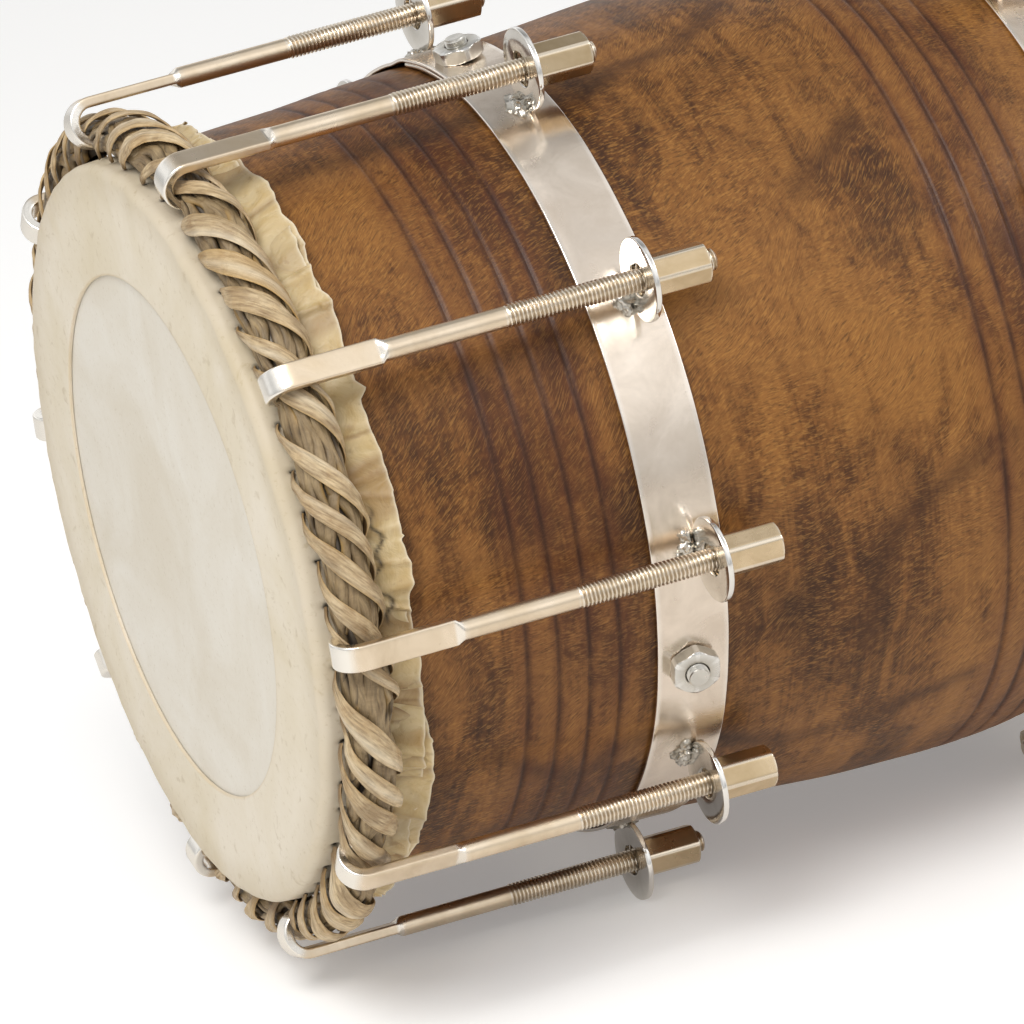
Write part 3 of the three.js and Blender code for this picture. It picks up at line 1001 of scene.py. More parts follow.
@dataclass(frozen=True)
class Finishes:
    """All the finishes, made once."""

    wood: bpy.types.Material
    band: bpy.types.Material
    washer: bpy.types.Material
    weld: bpy.types.Material
    rod: bpy.types.Material
    nut: bpy.types.Material
    zinc: bpy.types.Material
    ring: bpy.types.Material
    playing_hide: bpy.types.Material
    rim_hide: bpy.types.Material
    skirt: bpy.types.Material
    strap: bpy.types.Material
    strand: bpy.types.Material
    paste: bpy.types.Material

    @classmethod
    def make(cls, axis_height: float) -> Finishes:
        """Makes every material.

        Args:
            axis_height: Height of the drum's axis in metres.

        Returns:
            The finishes.
        """
        return cls(
            wood=LacqueredWood(axis_height).build(),
            band=Plate("plated_strip", "#eee1d2", "#d6c8b8", "#f8f3ec", 0.18, 0.3, 0.012).build(),
            washer=Plate("washer_plate", "#d9d6d0", "#bdb8ae", "#f6f4f0", 0.1, 0.2, 0.008).build(),
            weld=Plate("weld_metal", "#cfcac0", "#8d8474", "#f4f2ee", 0.2, 0.4, 0.06).build(),
            rod=Plate("rod_plate", "#ebdac2", "#d3c0a4", "#f6f2ea", 0.25, 0.4, 0.03).build(),
            nut=Plate("nut_plate", "#dac4a2", "#bda682", "#f0e8da", 0.22, 0.36, 0.02).build(),
            zinc=Plate("zinc_plate", "#d0ccc2", "#a9a499", "#f2f1ee", 0.26, 0.42, 0.03).build(),
            ring=Plate("ring_steel", "#7a7268", "#564d43", "#9a948a", 0.45, 0.6, 0.03).build(),
            playing_hide=Hide("playing_hide", "#d9d3c7", "#cfc6b5", "#a99878", 700, 0.02).build(),
            rim_hide=Hide("rim_hide", "#dbd1bf", "#d0c3a8", "#a18b62", 500, 0.03, spots=0.35).build(),
            skirt=Hide("skirt_hide", "#ccb68c", "#b89a64", "#866539", 260, 0.06, 0.5, 0.15,
                       cloud=95, crumple=1.1, spots=0.4).build(),
            strap=Hide("rawhide", "#d6bf97", "#b79a70", "#6f5637", 1300, 0.6, 0.48,
                       fibrous=True, cloud=120, crumple=0.9).build(),
            strand=Hide("strand_hide", "#a58e69", "#7d6645", "#2e2114", 900, 0.5, 0.52,
                        fibrous=True, cloud=120, crumple=0.7, streak=0.42).build(),
            paste=TuningPaste().build(),
        )


# The barrel


@dataclass
class Barrel:
    """The turned wooden shell."""

    form: DrumForm
    bass: Head
    sides: int = 320
    step: float = 3.0
    bearing_edge: float = 3.0
    groove_depth: float = 0.6
    groove_width: float = 0.95
    stain_reach: float = 4.5
    groove_spacing: float = 10.6
    grooves_per_set: int = 4
    first_grooves: float = 72.0
    second_past_belly: float = -1.5
    turning_wave: float = 0.12
    bore_rings: int = 40
    vein_reach: float = 4.2
    veins: tuple[tuple[tuple[float, float], ...], ...] = (
        ((246, 85.8), (231, 88), (220, 90), (208, 92.5), (199, 96), (193, 103), (190, 112)),
        ((199, 46), (206, 44), (214, 42), (226, 38.5)),
        ((150, 20), (166, 16), (190, 15), (214, 8)),
        ((258, 60), (276, 66), (296, 64), (330, 75)),
        ((60, 118), (90, 126), (118, 121), (170, 130), (230, 124)),
    )

    def vein(self, along: Array, angle: Array) -> Array:
        """How dark the veins of the figure are.

        Args:
            along: Places from the bass head's face.
            angle: Angles on the drum.

        Returns:
            Values from 0 to 1, places by angles.
        """
        dark = np.zeros((len(along), len(angle)))
        for knots in self.veins:
            for place, turn in smooth_path(knots, 60):
                around = np.radians(degrees_apart(angle, turn)) * self.form.belly_radius
                away = np.hypot(along[:, None] - place, around[None])
                dark = np.maximum(dark, bell(away, self.vein_reach))
        return dark

    def groove_centres(self) -> Array:
        """Places of the turned lines from the bass head's face."""
        starts = [self.first_grooves, self.form.belly_share * self.form.length + self.second_past_belly]
        steps = self.groove_spacing * np.arange(self.grooves_per_set)
        return np.add.outer(starts, steps).ravel()

    def outside(self) -> tuple[Array, Array, Array]:
        """The outer outline.

        Returns:
            Places along it, radii, and how deep each lies in a groove.
        """
        start, end = self.form.shell_setback, self.form.length - self.form.shell_setback
        centres = self.groove_centres()
        fine = np.array([0, 0.35, 0.7, 1.05, 1.5, 2.2])
        near = (centres[:, None] + np.concatenate([-fine[1:], fine])).ravel()
        edge = self.bearing_edge * (1 - np.cos(np.radians([0, 20, 40, 60, 90])))
        along = np.concatenate([np.arange(start + 4, end - 4, self.step), near, start + edge, end - edge])
        along = np.unique(np.round(along, 3))
        in_groove = bell((along[:, None] - centres).T, self.groove_width).max(0)
        from_end = np.minimum(along - start, end - along)
        across = self.bearing_edge - np.minimum(from_end, self.bearing_edge)
        inset = self.bearing_edge - np.sqrt(np.maximum(0, self.bearing_edge**2 - across**2))
        radius = self.form.barrel_radius(along) - self.groove_depth * in_groove - inset
        return along, radius, in_groove

    def build(self, finishes: Finishes) -> None:
        """Makes the shell."""
        along, radius, in_groove = self.outside()
        inner = np.linspace(along[-1], along[0], self.bore_rings)
        bore = self.form.barrel_radius(inner) - self.form.barrel_wall
        angle = angles_round(self.sides)
        wave = Ripple(Seed.TURNING, self.turning_wave, 25, 120)
        girth = np.radians(angle)[None] * self.form.belly_radius
        outer = radius[:, None] + wave(along[:, None], girth)
        rings = np.concatenate([outer, np.repeat(bore[:, None], self.sides, 1)])
        near = bell((along[:, None] - self.groove_centres()).T, self.stain_reach).max(0)

        def outside_only(values: Array) -> Array:
            """Marks of the outer rings, followed by none on the bore's."""
            return np.concatenate([values, np.zeros((len(inner), values.shape[1]))])

        surface = Surface()
        surface.grid(
            self.bass.place(np.concatenate([along, inner])[:, None], rings, angle),
            wrap_rows=True,
            groove=outside_only(in_groove[:, None]),
            stained=outside_only(near[:, None]),
            inside=1 - outside_only(np.ones((len(along), 1))),
            vein=outside_only(self.vein(along, angle)),
        )
        settle(surface.build("shell", finishes.wood, 60), ROOT, "lacquered_wood", "barrel_shell")


# Bands, washers, welds and bolts


@dataclass
class Band:
    """A plated strip round the barrel, with its washers and welds.

    Each weld spot has a place along and across the drum from the washer's foot, and a size.
    """

    head: Head
    lap: float = 9.0
    lap_gap: float = 0.12
    strip_steps: int = 720
    top_points: int = 7
    corner: float = 0.45
    dent: float = 0.10
    flare: float = 0.5
    edge_shine: float = 0.6
    hole_radius: float = 5.4
    hole_stray: float = 0.5
    notch: float = 1.1
    weld_size: float = 2.6
    weld_ahead: float = 3.0
    lump_rings: int = 14
    lump_sides: int = 20
    heat_reach: float = 9.0
    heat_ahead: float = 2.5
    heat: float = 0.75
    washer_sides: int = 72
    weld_spots: tuple[tuple[float, float, float], ...] = (
        (-3.0, -3.6, 1.0), (-3.4, 0.2, 1.1), (-2.8, 3.6, 0.9),
        (-5.4, -1.2, 0.7), (2.4, 1.6, 0.75), (2.2, -2.6, 0.6),
    )

    def weld_places(self) -> Array:
        """Depth and angle of each washer's weld."""
        angles = np.array([self.head.rod_angle(n + 1) for n in range(self.head.form.rods)])
        return np.stack([np.full(len(angles), self.head.washer_depth - self.weld_ahead), angles], -1)

    def strip_outline(self) -> Array:
        """The strip's closed section, as pairs of place along the drum and height."""
        half, thick = self.head.form.band_width / 2, self.head.form.band_thickness
        outline = rounded_slab(-half, half, 0, thick, self.corner)
        top = np.linspace(half - 2, 2 - half, self.top_points)
        return np.concatenate([outline[:4], np.stack([top, np.full(len(top), thick)], -1), outline[4:]])

    def heated(self, depth: Array, angle: Array) -> Array:
        """How far welding has coloured the strip.

        Args:
            depth: Depths, section by angles.
            angle: Angles on the drum.

        Returns:
            Values from 0 to 1, section by angles.
        """
        welds = self.weld_places()
        apart = np.radians(degrees_apart(angle[:, None], welds[:, 1])) * self.head.form.band_seat_radius
        reach = np.sqrt(apart.min(1)[None] ** 2 + (depth - welds[0, 0] + self.heat_ahead) ** 2)
        return self.heat * bell(reach, self.heat_reach)

    def build_strip(self, finishes: Finishes) -> None:
        """Makes the strip, whose end laps over its start on top of the drum."""
        form, head = self.head.form, self.head
        half = form.band_width / 2
        outline = self.strip_outline()
        angle = np.linspace(-self.lap, FULL_TURN + self.lap, self.strip_steps)
        lap_start = FULL_TURN - self.lap
        lifted = (form.band_thickness + self.lap_gap) * eased(angle, lap_start - 7, lap_start - 1)
        depth = form.band_from_head + outline[:, :1] + 0 * angle
        dented = Ripple(Seed.BASS_DENTS if head.is_bass else Seed.TREBLE_DENTS, self.dent, 18, 70)
        dents = dented(depth, np.radians(angle) * form.band_seat_radius)
        flare = self.flare * eased(-outline[:, :1], half - 3.5, half)
        radius = head.band_seat(depth) + form.fit + outline[:, 1:] + lifted + flare + dents
        edge = eased(np.abs(outline[:, :1]), half - 1.0, half - 0.2) + 0 * angle
        surface = Surface()
        points = head.place(depth, radius, angle).transpose(1, 0, 2)
        # Painted highlights along both edges of the strip, with lower roughness there.
        surface.grid(points, caps=True, heat=self.heated(depth, angle).T, bright=self.edge_shine * edge.T)
        strip = surface.build(f"{head.name}_band_strip", finishes.band, 50)
        settle(strip, ROOT, "plated_strip", f"{head.name}_band")

    def build_washers(self, finishes: Finishes) -> None:
        """Makes the washers, which stand on the strip across the rods."""
        form, head = self.head.form, self.head
        surface = Surface()
        half = form.washer_thickness / 2
        outline = rounded_slab(-half, half, self.hole_radius, form.washer_radius, 0.5)
        rng = np.random.default_rng(Seed.WASHERS)
        turn = circle(self.washer_sides)
        inner = 1 - eased(outline[:, 1], self.hole_radius, self.hole_radius + 3)
        rim = eased(outline[:, 1:], form.washer_radius - 1.0, form.washer_radius - 0.3) + 0 * turn
        along = np.repeat(outline[:, :1], self.washer_sides, 1)
        for number in range(1, form.rods + 1):
            oval = self.hole_stray * np.cos(2 * turn + rng.uniform(0, 6))
            from_notch = np.angle(np.exp(1j * (turn - rng.uniform(0, 6))))
            stray = oval + self.notch * bell(from_notch, 0.35)
            radius = outline[:, 1:] + inner[:, None] * stray
            points = np.stack([along, radius * np.cos(turn), radius * np.sin(turn)], -1)
            # Painted highlight round each washer's outer edge, with lower roughness.
            surface.grid(moved(head.rod_frame(number), points), wrap_rows=True, bright=0.7 * rim)
        piece = surface.build(f"{head.name}_washers", finishes.washer, 50)
        settle(piece, ROOT, "plated_strip")

    def build_welds(self, finishes: Finishes) -> None:
        """Makes the weld metal at each washer's foot."""
        form, head = self.head.form, self.head
        surface = Surface()
        rng = np.random.default_rng(Seed.WELDS)
        polar = np.linspace(0.02, np.pi - 0.02, self.lump_rings)[:, None]
        turn = circle(self.lump_sides)[None]
        flat = np.sin(polar)
        ball = np.stack([flat * np.cos(turn), flat * np.sin(turn), np.cos(polar) + 0 * turn], -1)
        for number in range(1, form.rods + 1):
            frame = head.rod_frame(number)
            for x, y, size in self.weld_spots:
                lump = Ripple(int(rng.integers(1e6)), 0.13, 0.5, 1.6)
                bulk = self.weld_size * size * rng.uniform(0.85, 1.2)
                shape = ball * (1 + lump(ball[..., :1] + 3 * ball[..., 2:], ball[..., 1:2]))
                points = shape * np.array([bulk, bulk * 1.25, bulk * 0.85])
                foot = 0.4 - form.washer_radius + 0.15 * x
                points += [x + rng.uniform(-0.5, 0.5), y + rng.uniform(-0.7, 0.7), foot]
                # Painted highlight on the outer side of each lump.
                surface.grid(moved(frame, points), caps=True, bright=0.4 * eased(points[..., 2], -14, -11))
        piece = surface.build(f"{head.name}_welds", finishes.weld, 70)
        settle(piece, ROOT, "plated_strip")

    def build(self, finishes: Finishes) -> None:
        """Makes the band with all that is welded to it."""
        self.build_strip(finishes)
        self.build_washers(finishes)
        self.build_welds(finishes)


def hexagon_nut(surface: Surface, frame: Array, start: float, thickness: float, across: float,
                bore: float, chamfer: float = 0.55, wear: float = 0.35) -> None:
    """Adds a chamfered hexagon nut to a surface.

    Args:
        surface: The surface.
        frame: The frame whose first axis it lies on.
        start: Its first face's place along that axis.
        thickness: Its length.
        across: Its width across flats.
        bore: Its hole's radius.
        chamfer: Height of the chamfer at the corners.
        wear: How much its edges are rounded.
    """
    turn = circle(96)
    sector = (turn + np.pi / 6) % (np.pi / 3) - np.pi / 6
    corner = across / math.sqrt(3)
    flats = np.minimum(across / 2 / np.cos(sector), corner - wear)
    near = np.array([0, 0.12, 0.3, 0.55, 0.9, 1.5])
    depth = np.concatenate([near, [thickness / 2], thickness - near[::-1]])
    from_face = np.minimum(depth, thickness - depth)[:, None]
    cone = corner - (chamfer - from_face) * math.sqrt(3)
    outside = np.where(from_face < chamfer, np.minimum(flats, cone), flats)
    mouth = np.array([[bore], [bore], [bore + 0.45]]) + 0 * turn
    radii = np.vstack([mouth, outside, mouth[::-1]])
    entry = np.array([thickness / 2, 0.5, 0.0])
    along = np.concatenate([entry, depth, thickness - entry[::-1]])[:, None] + 0 * turn
    points = np.stack([start + along, radii * np.sin(turn), radii * np.cos(turn)], -1)
    # Painted highlights on the edges of the faces and on the corners.
    edge = bell(from_face, 0.5) * 0.5 + 0.6 * (flats > corner - wear - 0.02)
    bright = np.zeros_like(radii)
    bright[len(mouth):-len(mouth)] = edge
    # Painted shade inside the mouths of the bore.
    dirt = np.zeros((len(radii), 1))
    dirt[:2] = dirt[-2:] = 0.9
    surface.grid(moved(frame, points), bright=np.clip(bright, 0, 0.8), dirt=dirt)


@dataclass
class BandBolt:
    """A short bolt that fastens a band to the wood, with its nut."""

    head: Head
    number: int
    after_rod: int
    across: float = 15.4
    nut_thickness: float = 5.0
    shank: float = 3.7
    stub: float = 2.4
    head_radius: float = 7.0
    head_thickness: float = 3.0
    gap: float = 0.35
    lean: float = 0.09
    thread_depth: float = 0.35
    thread_rings: int = 8
    thread_sides: int = 40

    def frame(self) -> Array:
        """The bolt's frame, whose first axis points outwards."""
        form, head = self.head.form, self.head
        angle = head.rod_angle(self.after_rod) + form.pitch / 2
        middle = form.band_from_head
        slope = math.atan(float(head.band_seat(middle + 1) - head.band_seat(middle)))
        upright = head.stand(middle, float(head.band_seat(middle)), angle, slope + self.lean)
        frame = upright.copy()
        frame[:3, 0], frame[:3, 2] = upright[:3, 2], -upright[:3, 0]
        return frame

    def profile(self, outer_face: float) -> list[tuple[float, float]]:
        """The bolt's outline, from its head inside the barrel to its worn stub.

        Args:
            outer_face: Place of the nut's outer face.

        Returns:
            Pairs of place along it and radius.
        """
        wide, shank, top = self.head_radius, self.shank, outer_face + self.stub
        low = -self.head.form.barrel_wall - 1.6 - self.head_thickness
        neck = low + self.head_thickness
        line = [(low, POINT), (low, wide - 0.6), (low + 0.6, wide), (neck, wide), (neck, shank)]
        line += [(outer_face - 0.4, shank), (outer_face, shank - self.thread_depth)]
        thread = np.linspace(outer_face + 0.1, top - 0.6, self.thread_rings)
        line += [(x, shank - self.thread_depth * (i % 2)) for i, x in enumerate(thread)]
        return line + [(top - 0.1, shank - 0.5), (top, shank - 1.1), (top - 0.2, 0.6), (top - 0.15, POINT)]

    def build(self, finishes: Finishes) -> None:
        """Makes the bolt and its nut."""
        form, head, frame = self.head.form, self.head, self.frame()
        lapped = form.band_thickness if self.number == 1 else 0.0
        face = form.fit + form.band_thickness + lapped + self.gap
        surface = Surface()
        hexagon_nut(surface, frame, face, self.nut_thickness, self.across, self.shank + 0.15, 0.8, 0.4)
        outline = self.profile(face + self.nut_thickness)
        surface.grid(moved(frame, lathe(outline, self.thread_sides)), bright=0.3)
        piece = surface.build(f"{head.name}_bolt_{self.number}", finishes.zinc, 35)
        settle(piece, ROOT, "zinc", f"{head.name}_band_bolt_{self.number}")


# Hook rods and long nuts


class Rings:
    """Rings of points along a rod, with the painted shine and polish and the painted shade of each."""

    def __init__(self) -> None:
        """Starts without a ring."""
        self.points: list[Array] = []
        self.bright: list[Array] = []
        self.dirt: list[Array] = []

    def add(self, along: Array | float, section: Array, bright: Array | float = 0.0,
            dirt: Array | float = 0.0) -> None:
        """Adds a ring.

        Args:
            along: Place of its points along the rod.
            section: Their places sideways and upwards.
            bright: How much painted shine lightens them, with polish.
            dirt: How much painted shade darkens them.
        """
        count = len(section)
        self.points.append(np.column_stack([np.broadcast_to(along, count), section]))
        self.bright.append(np.broadcast_to(bright, count))
        self.dirt.append(np.broadcast_to(dirt, count))


@dataclass
class HookRod:
    """A rod with a flat hooked end, a round shank and a rolled thread.

    Each step of the blend has a place past the flat, a share of the round section and a painted shine.
    """

    head: Head
    number: int
    past_nut: float
    bar_width: float = 8.7
    bar_thickness: float = 3.6
    bar_corner: float = 0.7
    bar_length: float = 30.0
    bar_stray: float = 1.2
    bar_wear: float = 0.012
    bar_rings: int = 12
    bend_rings: int = 19
    tip: float = 2.0
    tip_chamfer: float = 0.5
    shank: float = 3.5
    shank_rings: int = 8
    blend: tuple[tuple[float, float, float], ...] = (
        (0.0, 0.0, 0.7), (0.9, 0.5, 0.7), (1.7, 0.85, 0.7), (2.4, 1.0, 0.2),
    )
    crest: float = 3.9
    crest_shine: float = 0.45
    root_shade: float = 0.32
    thread_depth: float = 0.75
    thread_pitch: float = 25.4 / 18
    thread_length: float = 48.0
    rings_per_pitch: int = 7
    sides: int = 32

    def flat_section(self, chamfer: float = 0.0) -> Array:
        """Section of the flat bar.

        Args:
            chamfer: How far its sides are drawn in.

        Returns:
            Sideways and upwards pairs, eight to a quarter.
        """
        a, b = self.bar_width / 2 - chamfer, self.bar_thickness / 2 - chamfer
        c = self.bar_corner
        quarter = [(a, 0), (a, (b - c) * 0.6)]
        for turn in np.radians([0, 30, 60, 90]):
            quarter.append((a - c + c * math.cos(turn), b - c + c * math.sin(turn)))
        quarter += [((a - c) * 0.66, b), ((a - c) * 0.33, b)]
        side = np.array(quarter)
        back = np.vstack([[0, b], side[1:][::-1] * [-1, 1]])
        return np.vstack([side, back, -side, -back])

    def round_section(self, radius: float) -> Array:
        """Section of the round rod, as sideways and upwards pairs."""
        turn = circle(self.sides)
        return radius * np.stack([np.cos(turn), np.sin(turn)], -1)

    def add_hook(self, rings: Rings) -> None:
        """Adds the hook, from its tip round the bend, which goes down from the bar."""
        bend = self.head.form.bend_radius

        def bent(section: Array, turn: float, beyond: float, shine: Array | float) -> None:
            """Adds a ring of the bend."""
            reach = bend + section[:, 1]
            along = -self.head.hook_reach - reach * math.sin(turn) + beyond
            rings.add(along, np.stack([section[:, 0], reach * math.cos(turn) - bend], -1), shine)

        flat = self.flat_section()
        # Painted shine and polish on the tip and round the bend.
        bent(self.flat_section(self.tip_chamfer), math.pi, self.tip, 0.3)
        bent(flat, math.pi, self.tip - 0.6, 0.2)
        for turn in np.linspace(math.pi, 0, self.bend_rings):
            rubbed = eased(turn, 0.25, 0.75) * (1 - eased(turn, 2.3, 3.0))
            bent(flat, float(turn), 0.0, rubbed)

    def add_bar(self, rings: Rings, rng: np.random.Generator) -> float:
        """Adds the flat bar, which blends into the round shank.

        Args:
            rings: The rod's rings.
            rng: Source of its wear and length.

        Returns:
            The end of the flat.
        """
        flat, shank = self.flat_section(), self.round_section(self.shank)
        start = -self.head.hook_reach
        end = start + self.bar_length + rng.uniform(-self.bar_stray, self.bar_stray)
        for along in np.linspace(start + 1.2, end - 1.0, self.bar_rings):
            rings.add(along, flat * [1 + rng.uniform(-self.bar_wear, self.bar_wear), 1])
        # Painted shine on the rounded step from flat to round.
        for gap, share, shine in self.blend:
            rings.add(end + gap, flat * (1 - share) + shank * share, shine)
        return end

    def add_thread(self, rings: Rings, start: float, finish: float) -> None:
        """Adds the thread.

        Args:
            rings: The rod's rings.
            start: Where it starts along the rod.
            finish: The rod's end.
        """
        around = np.arange(self.sides) / self.sides
        count = int((finish - start) / self.thread_pitch * self.rings_per_pitch)
        for along in np.linspace(start, finish - 0.8, count):
            phase = (along / self.thread_pitch - around) % 1.0
            root = eased(np.abs(phase - 0.5), 0.12, 0.4)
            grown = eased(along, start, start + 2)
            radius = self.shank + (self.crest - self.shank - self.thread_depth * root) * grown
            section = self.round_section(1.0) * radius[:, None]
            # Painted highlight on the thread's crests and painted shade in its roots.
            rings.add(along, section, (1 - root) * self.crest_shine, root * self.root_shade * grown)
        rings.add(finish, self.round_section(self.crest - self.thread_depth - 0.2), 0.3)

    def build(self, finishes: Finishes) -> None:
        """Makes the rod."""
        head, form = self.head, self.head.form
        rings = Rings()
        self.add_hook(rings)
        first_seed = Seed.BASS_RODS if head.is_bass else Seed.TREBLE_RODS
        flat_end = self.add_bar(rings, np.random.default_rng(first_seed + self.number))
        thread = -self.thread_length
        for along in np.linspace(flat_end + 4, thread - 0.6, self.shank_rings):
            rings.add(along, self.round_section(self.shank))
        finish = form.washer_thickness / 2 + form.fit + form.nut_length + self.past_nut
        self.add_thread(rings, thread, finish)
        points = moved(head.rod_frame(self.number), np.array(rings.points))
        surface = Surface()
        surface.grid(points, caps=True, bright=np.array(rings.bright), dirt=np.array(rings.dirt))
        name = f"{head.name}_rod_{self.number}"
        piece = surface.build(f"{head.name}_hook_rod_{self.number}", finishes.rod, 38)
        settle(piece, name, "rod_steel", name)


@dataclass
class LongNut:
    """The long hexagon nut that tightens a rod."""

    head: Head
    number: int
    across: float = 13.0
    bore: float = 4.05

    def build(self, finishes: Finishes) -> None:
        """Makes the nut."""
        form = self.head.form
        surface = Surface()
        start = form.washer_thickness / 2 + form.fit
        frame = self.head.rod_frame(self.number)
        hexagon_nut(surface, frame, start, form.nut_length, self.across, self.bore)
        name = f"{self.head.name}_nut_{self.number}"
        piece = surface.build(f"{self.head.name}_long_nut_{self.number}", finishes.nut, 30)
        settle(piece, name, "nut_plate", name)


# Hides


@dataclass
class LacePattern:
    """Where the lacing passes through the rim of a head."""

    head: Head
    per_gap: tuple[float, ...] = (3.6, 10.4, 17.2, 24.2, 30.6)
    stray: float = 0.6
    hole_depth: float = 7.4

    def holes(self) -> Array:
        """Angles of the holes in the rim."""
        rng = np.random.default_rng(Seed.HOLES)
        form = self.head.form
        angles = [form.first_rod + gap * form.pitch + at + rng.uniform(-self.stray, self.stray)
                  for gap in range(form.rods) for at in self.per_gap]
        return np.array(angles)


@dataclass
class RimSkin:
    """The outer ring of hide, with its open playing circle."""

    head: Head
    pattern: LacePattern
    opening_share: float = 0.708
    corner: float = 3.4
    wall_depth: float = 11.0
    sides: int = 900
    face_rings: int = 14
    side_rings: int = 12
    pit: float = 1.3
    pit_reach: float = 1.15
    pull: float = 0.2
    pull_reach: float = 3.6
    tan_edge: float = 0.35
    cut_line: float = 0.24

    def wall(self, depth: Array | float) -> Array:
        """Radius of the ring's outer side."""
        form = self.head.form
        return self.head.radius_at(depth) + 2 * form.fit + 2 * form.hide

    def outline(self) -> tuple[Array, Array]:
        """The ring's closed section, out from the opening, round the corner and back inside.

        Returns:
            Depths and radii of its points.
        """
        hide, corner, rim = self.head.form.hide, self.corner, float(self.wall(0.0))
        opening, flat_end = rim * self.opening_share, rim - corner
        turn = np.radians(np.linspace(0, 90, 9))[1:]
        face = np.linspace(opening + 4, flat_end, self.face_rings)
        side = np.linspace(corner + 0.6, self.wall_depth, self.side_rings)
        depth = np.concatenate([[0.35, 0.08, 0.0], 0 * face, corner * (1 - np.cos(turn)), side])
        radius = np.concatenate([opening + np.array([0.0, 0.25, 1.0]), face, flat_end + corner * np.sin(turn),
                                 self.wall(side)])
        bent = (depth > 0.5) & (depth <= corner)
        radius[bent] += (self.wall(depth[bent]) - rim) * (depth[bent] / corner)
        inner_depth = depth[::-1] + hide * np.clip(1 - depth[::-1] / corner, 0, 1)
        inner_radius = radius[::-1] - hide * np.clip(depth[::-1] / corner, 0, 1)
        inner_radius[-3:] = opening
        return np.concatenate([depth, inner_depth]), np.concatenate([radius, inner_radius])

    def build(self, finishes: Finishes) -> None:
        """Makes the ring, pitted and pulled at the lacing's holes."""
        head = self.head
        flat_end = float(self.wall(0.0)) - self.corner
        angle = angles_round(self.sides)
        depth, radius = (values[:, None] + 0 * angle for values in self.outline())
        apart = np.radians(degrees_apart(angle[:, None], self.pattern.holes())) * flat_end
        near = apart.min(1)[None]
        from_hole = np.hypot(near, (depth - self.pattern.hole_depth) * 0.6)
        sink = bell(from_hole, self.pit_reach) * (depth > 1.5)
        pulled = bell(np.hypot(near, depth - 3.5), self.pull_reach) * (radius > flat_end)
        radius = radius - self.pit * sink - self.pull * pulled
        uneven = Wander(Seed.RIM_FACE, 0.25, 3, 40)(angle)[None] * eased(radius, flat_end - 18, flat_end + 3)
        depth = depth + np.abs(uneven)
        line = np.zeros((len(depth), 1))
        line[:2] = self.cut_line
        surface = Surface()
        surface.grid(
            head.place(depth, radius, angle),
            wrap_rows=True,
            # Painted shade in the lacing holes, which the mesh only pits.
            hole=np.clip(sink * 3 - 1.3, 0, 1),
            shade=self.tan_edge * eased(radius, flat_end - 14, flat_end + 4),
            amber=line,
        )
        piece = surface.build(f"{head.name}_rim_hide", finishes.rim_hide, 60)
        settle(piece, ROOT, "rim_hide", f"{head.name}_rim_skin")


@dataclass
class PlayingSkin:
    """The stretched skin and the part of it that lies on the barrel."""

    head: Head
    sides: int = 360
    corner: float = 3.0
    disc_rings: int = 30
    tail_rings: int = 8
    end_depth: float = 22.0

    def build(self, finishes: Finishes) -> None:
        """Makes the skin."""
        form, head = self.head.form, self.head
        front, thick = form.hide_depth, form.hide

        def wall(depth: Array | float) -> Array:
            """Radius of the skin's inner side."""
            return head.radius_at(depth) + form.fit

        rim = float(wall(front)) + thick
        turn = np.radians(np.linspace(15, 90, 6))
        disc = np.linspace(POINT, rim - self.corner - 0.2, self.disc_rings)
        tail = np.linspace(front + self.corner + 1, self.end_depth, self.tail_rings)
        radius = np.concatenate([disc, rim - self.corner + self.corner * np.sin(turn), wall(tail) + thick])
        depth = np.concatenate([np.full(len(disc), front), front + self.corner * (1 - np.cos(turn)), tail])
        share = (depth[::-1] - front) / self.corner
        back_radius = np.maximum(radius[::-1] - thick * np.clip(share, 0, 1), POINT)
        back_depth = depth[::-1] + thick * np.clip(1 - share, 0, 1)
        angle = angles_round(self.sides)
        rings = [np.concatenate(pair)[:, None] for pair in ((depth, back_depth), (radius, back_radius))]
        surface = Surface()
        surface.grid(head.place(*rings, angle))
        piece = surface.build(f"{head.name}_playing_hide", finishes.playing_hide, 60)
        settle(piece, ROOT, "playing_hide", f"{head.name}_skin")


